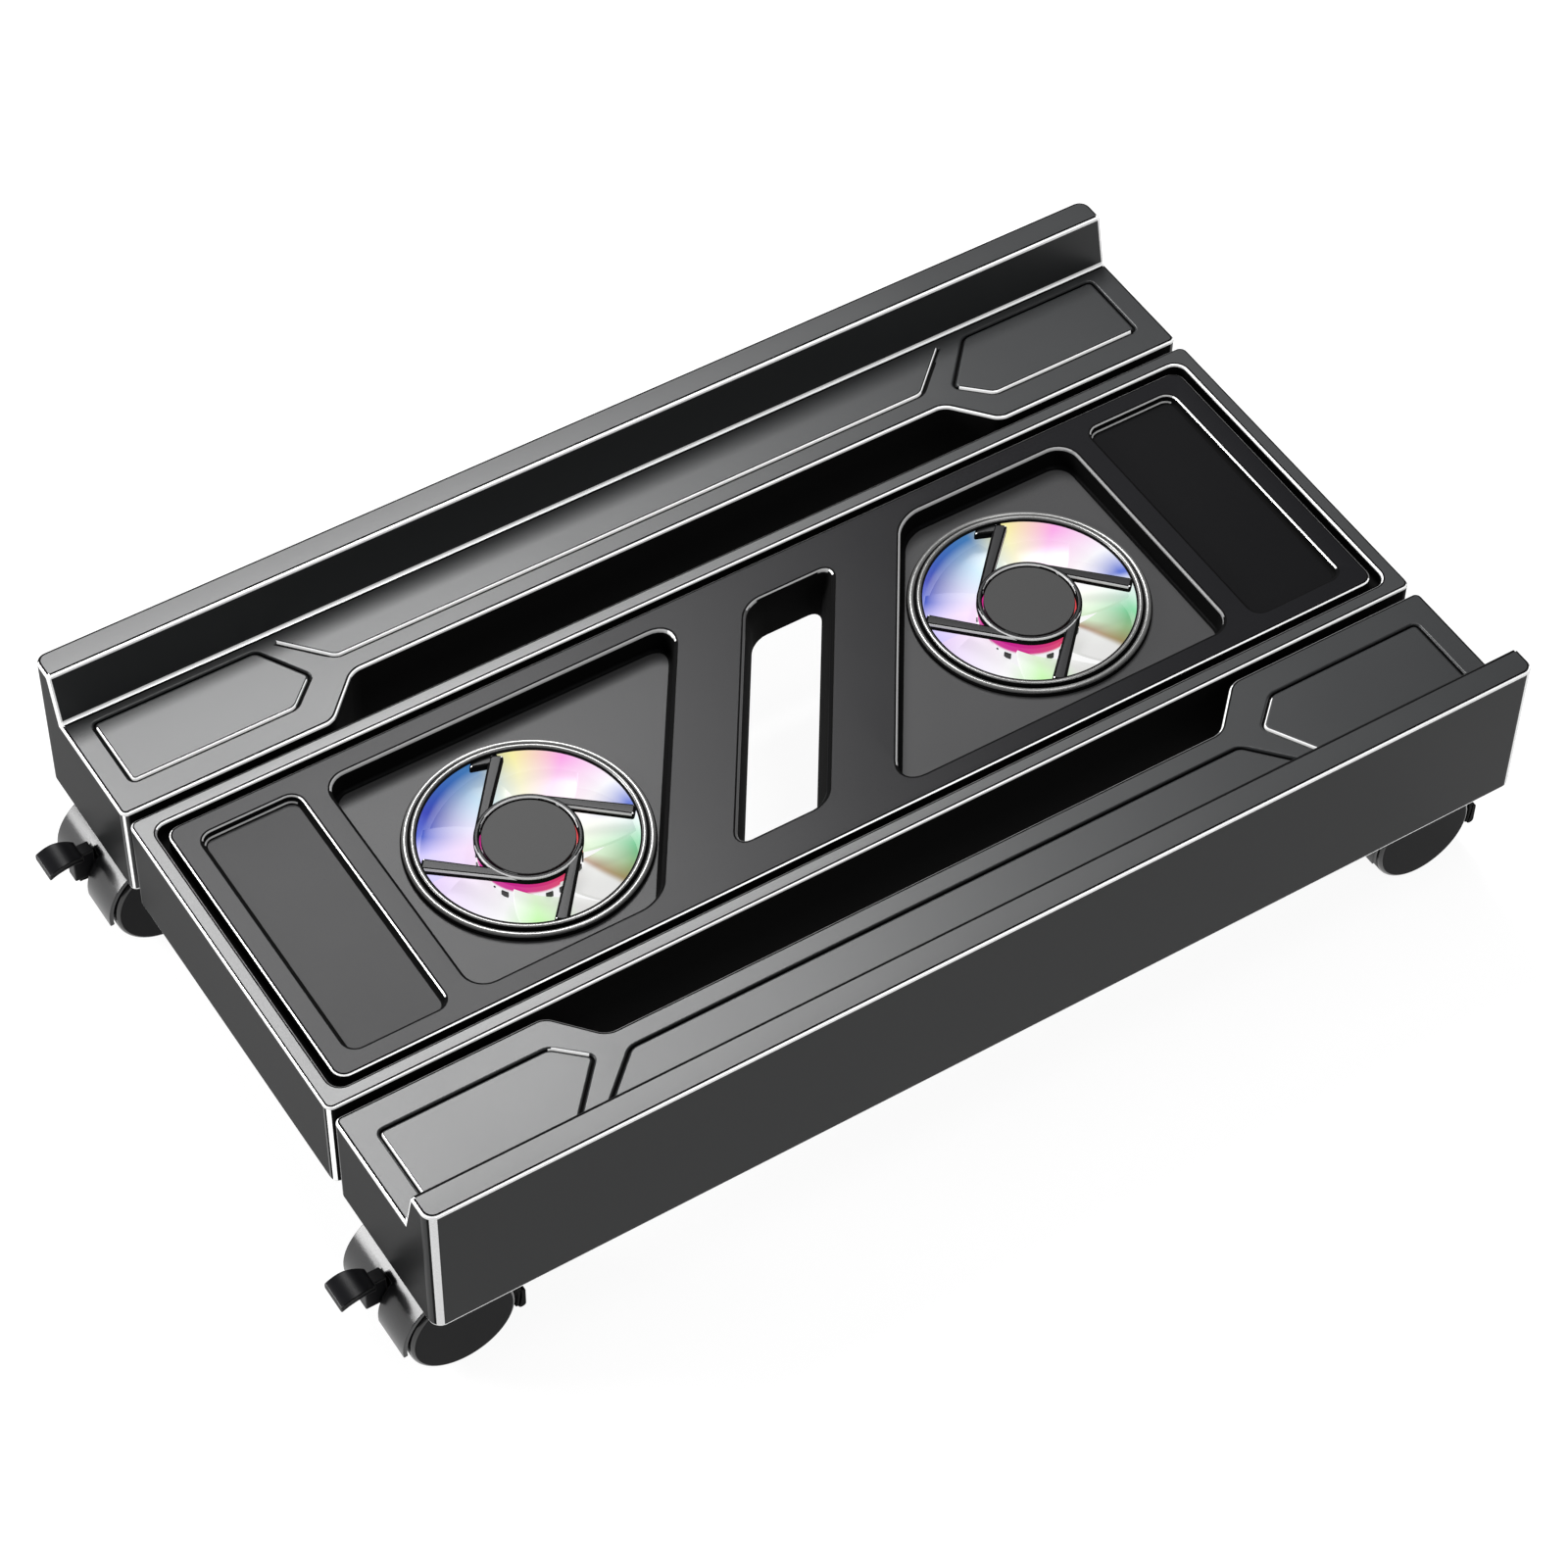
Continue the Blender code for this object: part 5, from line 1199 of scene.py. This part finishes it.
# Casters: a glossy black nylon hood over twin hard wheels, its steel stem turning in a sleeve in the rail.
# The clevis in the hood's middle carries the axle, and at the pedal end it is slotted for the brake.
# The pedal is a curved matt paddle whose neck goes through the slot to a knuckle above the wheels.
gloss = moulded(
    "gloss_black_nylon",
    (0.010, 0.010, 0.011),
    (0.014, 0.014, 0.015),
    0.24,
    grain=0.04,
    edge=0.05,
    highlight_glow=0.0,
    specular_ior_level=0.48,
)
axle_x, _, axle_height = middle_of("caster_axle_back_b")
trail = round(caster_x - axle_x, 5)
hood_radius, hood_shell, hood_length, hood_edge = 0.0225, 0.0017, 0.041, 0.00035
tail_near, tail_far, tail_foot, tail_top, tail_edge = 0.0156, 0.0186, -0.0078, 0.0020, 0.0013
web_width, boss_radius, boss_half, axle_bore = 0.015, 0.006, 0.0075, 0.0027
rear_cut, head_cut = -12.0, 187.0  # where the hood ends behind and ahead, in degrees round the axle
collar_bore, collar_seat, stem_bore, stem_foot, stem_top = 0.0069, 0.0195, 0.0043, 0.006, 0.020
slot_reach, web_slit, hood_slit, through = 0.0032, 0.0045, 0.0165, 0.03
on_axle = Matrix.Translation((-trail, 0.0, 0.0))
sideways = Matrix.Rotation(math.pi / 2, 4, "X")


def barrel(name, radius, length, fill):
    """A cylinder along the axle, with everything below the hood's two lower edges cut away."""
    alone()
    bpy.ops.mesh.primitive_cylinder_add(
        vertices=72,
        radius=radius,
        depth=length,
        end_fill_type="NGON" if fill else "NOTHING",
        location=(-trail, 0.0, 0.0),
        rotation=(math.pi / 2, 0.0, 0.0),
    )
    piece = fixed()
    piece.name = name
    angles = math.radians(rear_cut), math.radians(head_cut)
    rear, head = (Vector((math.cos(angle), 0.0, math.sin(angle))) for angle in angles)
    along = rear - head
    normal = Vector((-along.z, 0.0, along.x))
    cut = Vector((-trail, 0.0, 0.0)) + head * radius
    with editing(piece):
        bpy.ops.mesh.select_all(action="SELECT")
        bpy.ops.mesh.bisect(plane_co=cut, plane_no=normal, clear_inner=True, use_fill=fill)
    return piece


def hood(name, braked):
    """One hood with its clevis, bored for stem and axle."""
    def slit(depth):
        """The tool for a slot from the head to some way before the axle."""
        return block("slit", (-0.05, -slot_reach, -through), (-trail - depth, slot_reach, through))

    shell = barrel(name, hood_radius, hood_length, False)
    modify(shell, "SOLIDIFY", thickness=hood_shell, offset=-1.0)
    web = barrel("web", hood_radius - hood_shell / 2, web_width, True)
    if braked:
        carve(web, [slit(web_slit)])
    half = hood_length / 2
    tail = block("tail", (tail_near, -half, tail_foot), (tail_far, half, tail_top))
    with editing(tail):
        pick(tail, "EDGE", lambda place, run: abs(run.y) > MOSTLY)
        bevelled(tail_edge, 4)
    boss, bore = post(boss_radius, -boss_half, boss_half), post(axle_bore, -through, through)
    for bar in (boss, bore):
        bar.data.transform(on_axle @ sideways)
    for bar in (tail, web, boss):
        carve(shell, [bar], "UNION")
    cuts = [bore, post(collar_bore, collar_seat, through), post(stem_bore, stem_foot, stem_top)]
    if braked:
        cuts.append(slit(hood_slit))
    for tool in cuts:
        carve(shell, [tool])
    soften(shell, hood_edge, angle=40.0, segments=2)
    # Painted shade: the slot's side walls flat black and the tail at the hood's rear nearly black.
    marked(shell, PAINTED_SHADE, lambda place, normal: abs(normal.y) > 0.8 and abs(place.y) < slot_reach + 0.001)
    marked(shell, -0.9, lambda place, normal: place.x > 0.0135)
    return shell


plain_hood, brake_hood = hood("hood_plain", False), hood("hood_brake", True)

wheel_plastic = moulded(
    "wheel_hard_plastic",
    (0.007, 0.007, 0.008),
    (0.011, 0.011, 0.012),
    0.46,
    edge=0.012,
    highlight_glow=0.0,
    coat=1.0,
    specular_ior_level=0.1,
)
wheel_low, wheel_high = measured("caster_wheel_back_b_right")
wheel_radius = round((wheel_high[0] - wheel_low[0]) / 2, 5)
wheel_near, wheel_face = (round(corner[1] - caster_y, 5) for corner in (wheel_low, wheel_high))
wheel_bore, near_edge, face_edge = 0.0028, 0.0008, 0.0018
tread = [(wheel_bore, wheel_face - 0.0015), (wheel_bore, wheel_near), (wheel_radius - 0.001, wheel_near)]
tread += arc((wheel_radius - near_edge, wheel_near + near_edge), near_edge, -90.0, 0.0, 3)[1:]
tread += arc((wheel_radius - face_edge, wheel_face - face_edge), face_edge, 0.0, 90.0, 6)
tread += [(wheel_radius / 2, wheel_face)]
wheel = turned("wheel", tread, 96, closed=False)
# Painted shade darkens the wheel's outer face; the rounding at its rim is marked as a highlight: a slightly
# lighter, clear-coated strip.
marked(wheel, -0.35, lambda place, normal: normal.z > level_from)
marked(wheel, PAINTED_HIGHLIGHT, lambda place, normal: place.z > wheel_face - 0.0017 and 0.3 < normal.z < level_from)

pivot_angle, pivot_reach = math.radians(128.0), 0.017
pivot = Vector((math.cos(pivot_angle), math.sin(pivot_angle))) * pivot_reach
paddle_near, paddle_far, paddle_top, paddle_thick, paddle_half = -0.0276, -0.0419, 0.0188, 0.0024, 0.0043
paddle_crown, paddle_steps, paddle_flare = 0.0088, 10, 0.4
neck_foot, arm_top, knuckle_radius, slot_gap = 0.0060, 0.0112, 0.0029, 0.0005
paddle_low = (paddle_far, -paddle_half, paddle_top - paddle_thick)
lever = block("lever", paddle_low, (paddle_near, paddle_half, paddle_top))
with editing(lever):
    pick(lever, "EDGE", lambda place, run: abs(run.x) > MOSTLY)
    bpy.ops.mesh.subdivide(number_cuts=paddle_steps - 1)
    for step in range(paddle_steps + 1):
        share = step / paddle_steps
        x = paddle_near + (paddle_far - paddle_near) * share
        pick(lever, "VERT", lambda place: abs(place.x - x) < TINY)
        bpy.ops.transform.translate(value=(0.0, 0.0, paddle_crown * share * (1.0 - share)))
        widen = 1.0 + paddle_flare * math.sin(math.pi / 2 * min(1.0, share / 0.7))
        bpy.ops.transform.resize(value=(1.0, widen, 1.0), center_override=(x, 0.0, 0.0))
soften(lever, 0.0006, angle=50.0)
half = slot_reach - slot_gap
neck_top = (paddle_near + 0.0044, half, paddle_top - 0.0004)
neck = block("neck", (paddle_near - 0.004, -half, neck_foot), neck_top)
arm_low = (paddle_near + 0.001, -half + TINY, neck_foot + 0.0001)
arm = block("arm", arm_low, (pivot.x - trail, half - TINY, arm_top))
knuckle = post(knuckle_radius, -half, half)
knuckle.data.transform(Matrix.Translation((pivot.x - trail, 0.0, pivot.y)) @ sideways)
for bar in (neck, arm):
    soften(bar, 0.0005)
for bar in (neck, arm, knuckle):
    carve(lever, [bar], "UNION")
pedal_matt = moulded(
    "pedal_matt_nylon",
    (0.004, 0.004, 0.005),
    (0.006, 0.006, 0.007),
    0.36,
    edge=0.05,
    highlight_glow=0.0,
    specular_ior_level=0.08,
)

for side, sign in (("front", -1), ("back", 1)):
    for end, way in (("a", -1), ("b", 1)):
        key = f"{side}_{end}"
        place = Matrix.Translation((way * caster_x, sign * caster_y, axle_height))
        cover = copied(brake_hood if end == "a" else plain_hood, f"hood_{key}", place)
        settle(cover, f"caster_{key}", gloss, "gloss", f"caster_hood_{key}")
        for hand, turn in (("left", math.pi / 2), ("right", -math.pi / 2)):
            outward = on_axle @ Matrix.Rotation(turn, 4, "X")
            roller = copied(wheel, f"wheel_{key}_{hand}", place @ outward)
            settle(roller, f"wheel_{key}_{hand}", wheel_plastic, "wheel", f"caster_wheel_{key}_{hand}")
        if end == "a":
            pedal = copied(lever, f"pedal_{key}", place)
            settle(pedal, f"brake_{key}", pedal_matt, "gloss", f"brake_lever_{key}")
        dressed(nylon, f"caster_socket_{key}")
        dressed(zinc, f"caster_stem_{key}", f"caster_axle_{key}")
for pattern in (plain_hood, brake_hood, wheel, lever):
    bpy.data.objects.remove(pattern)
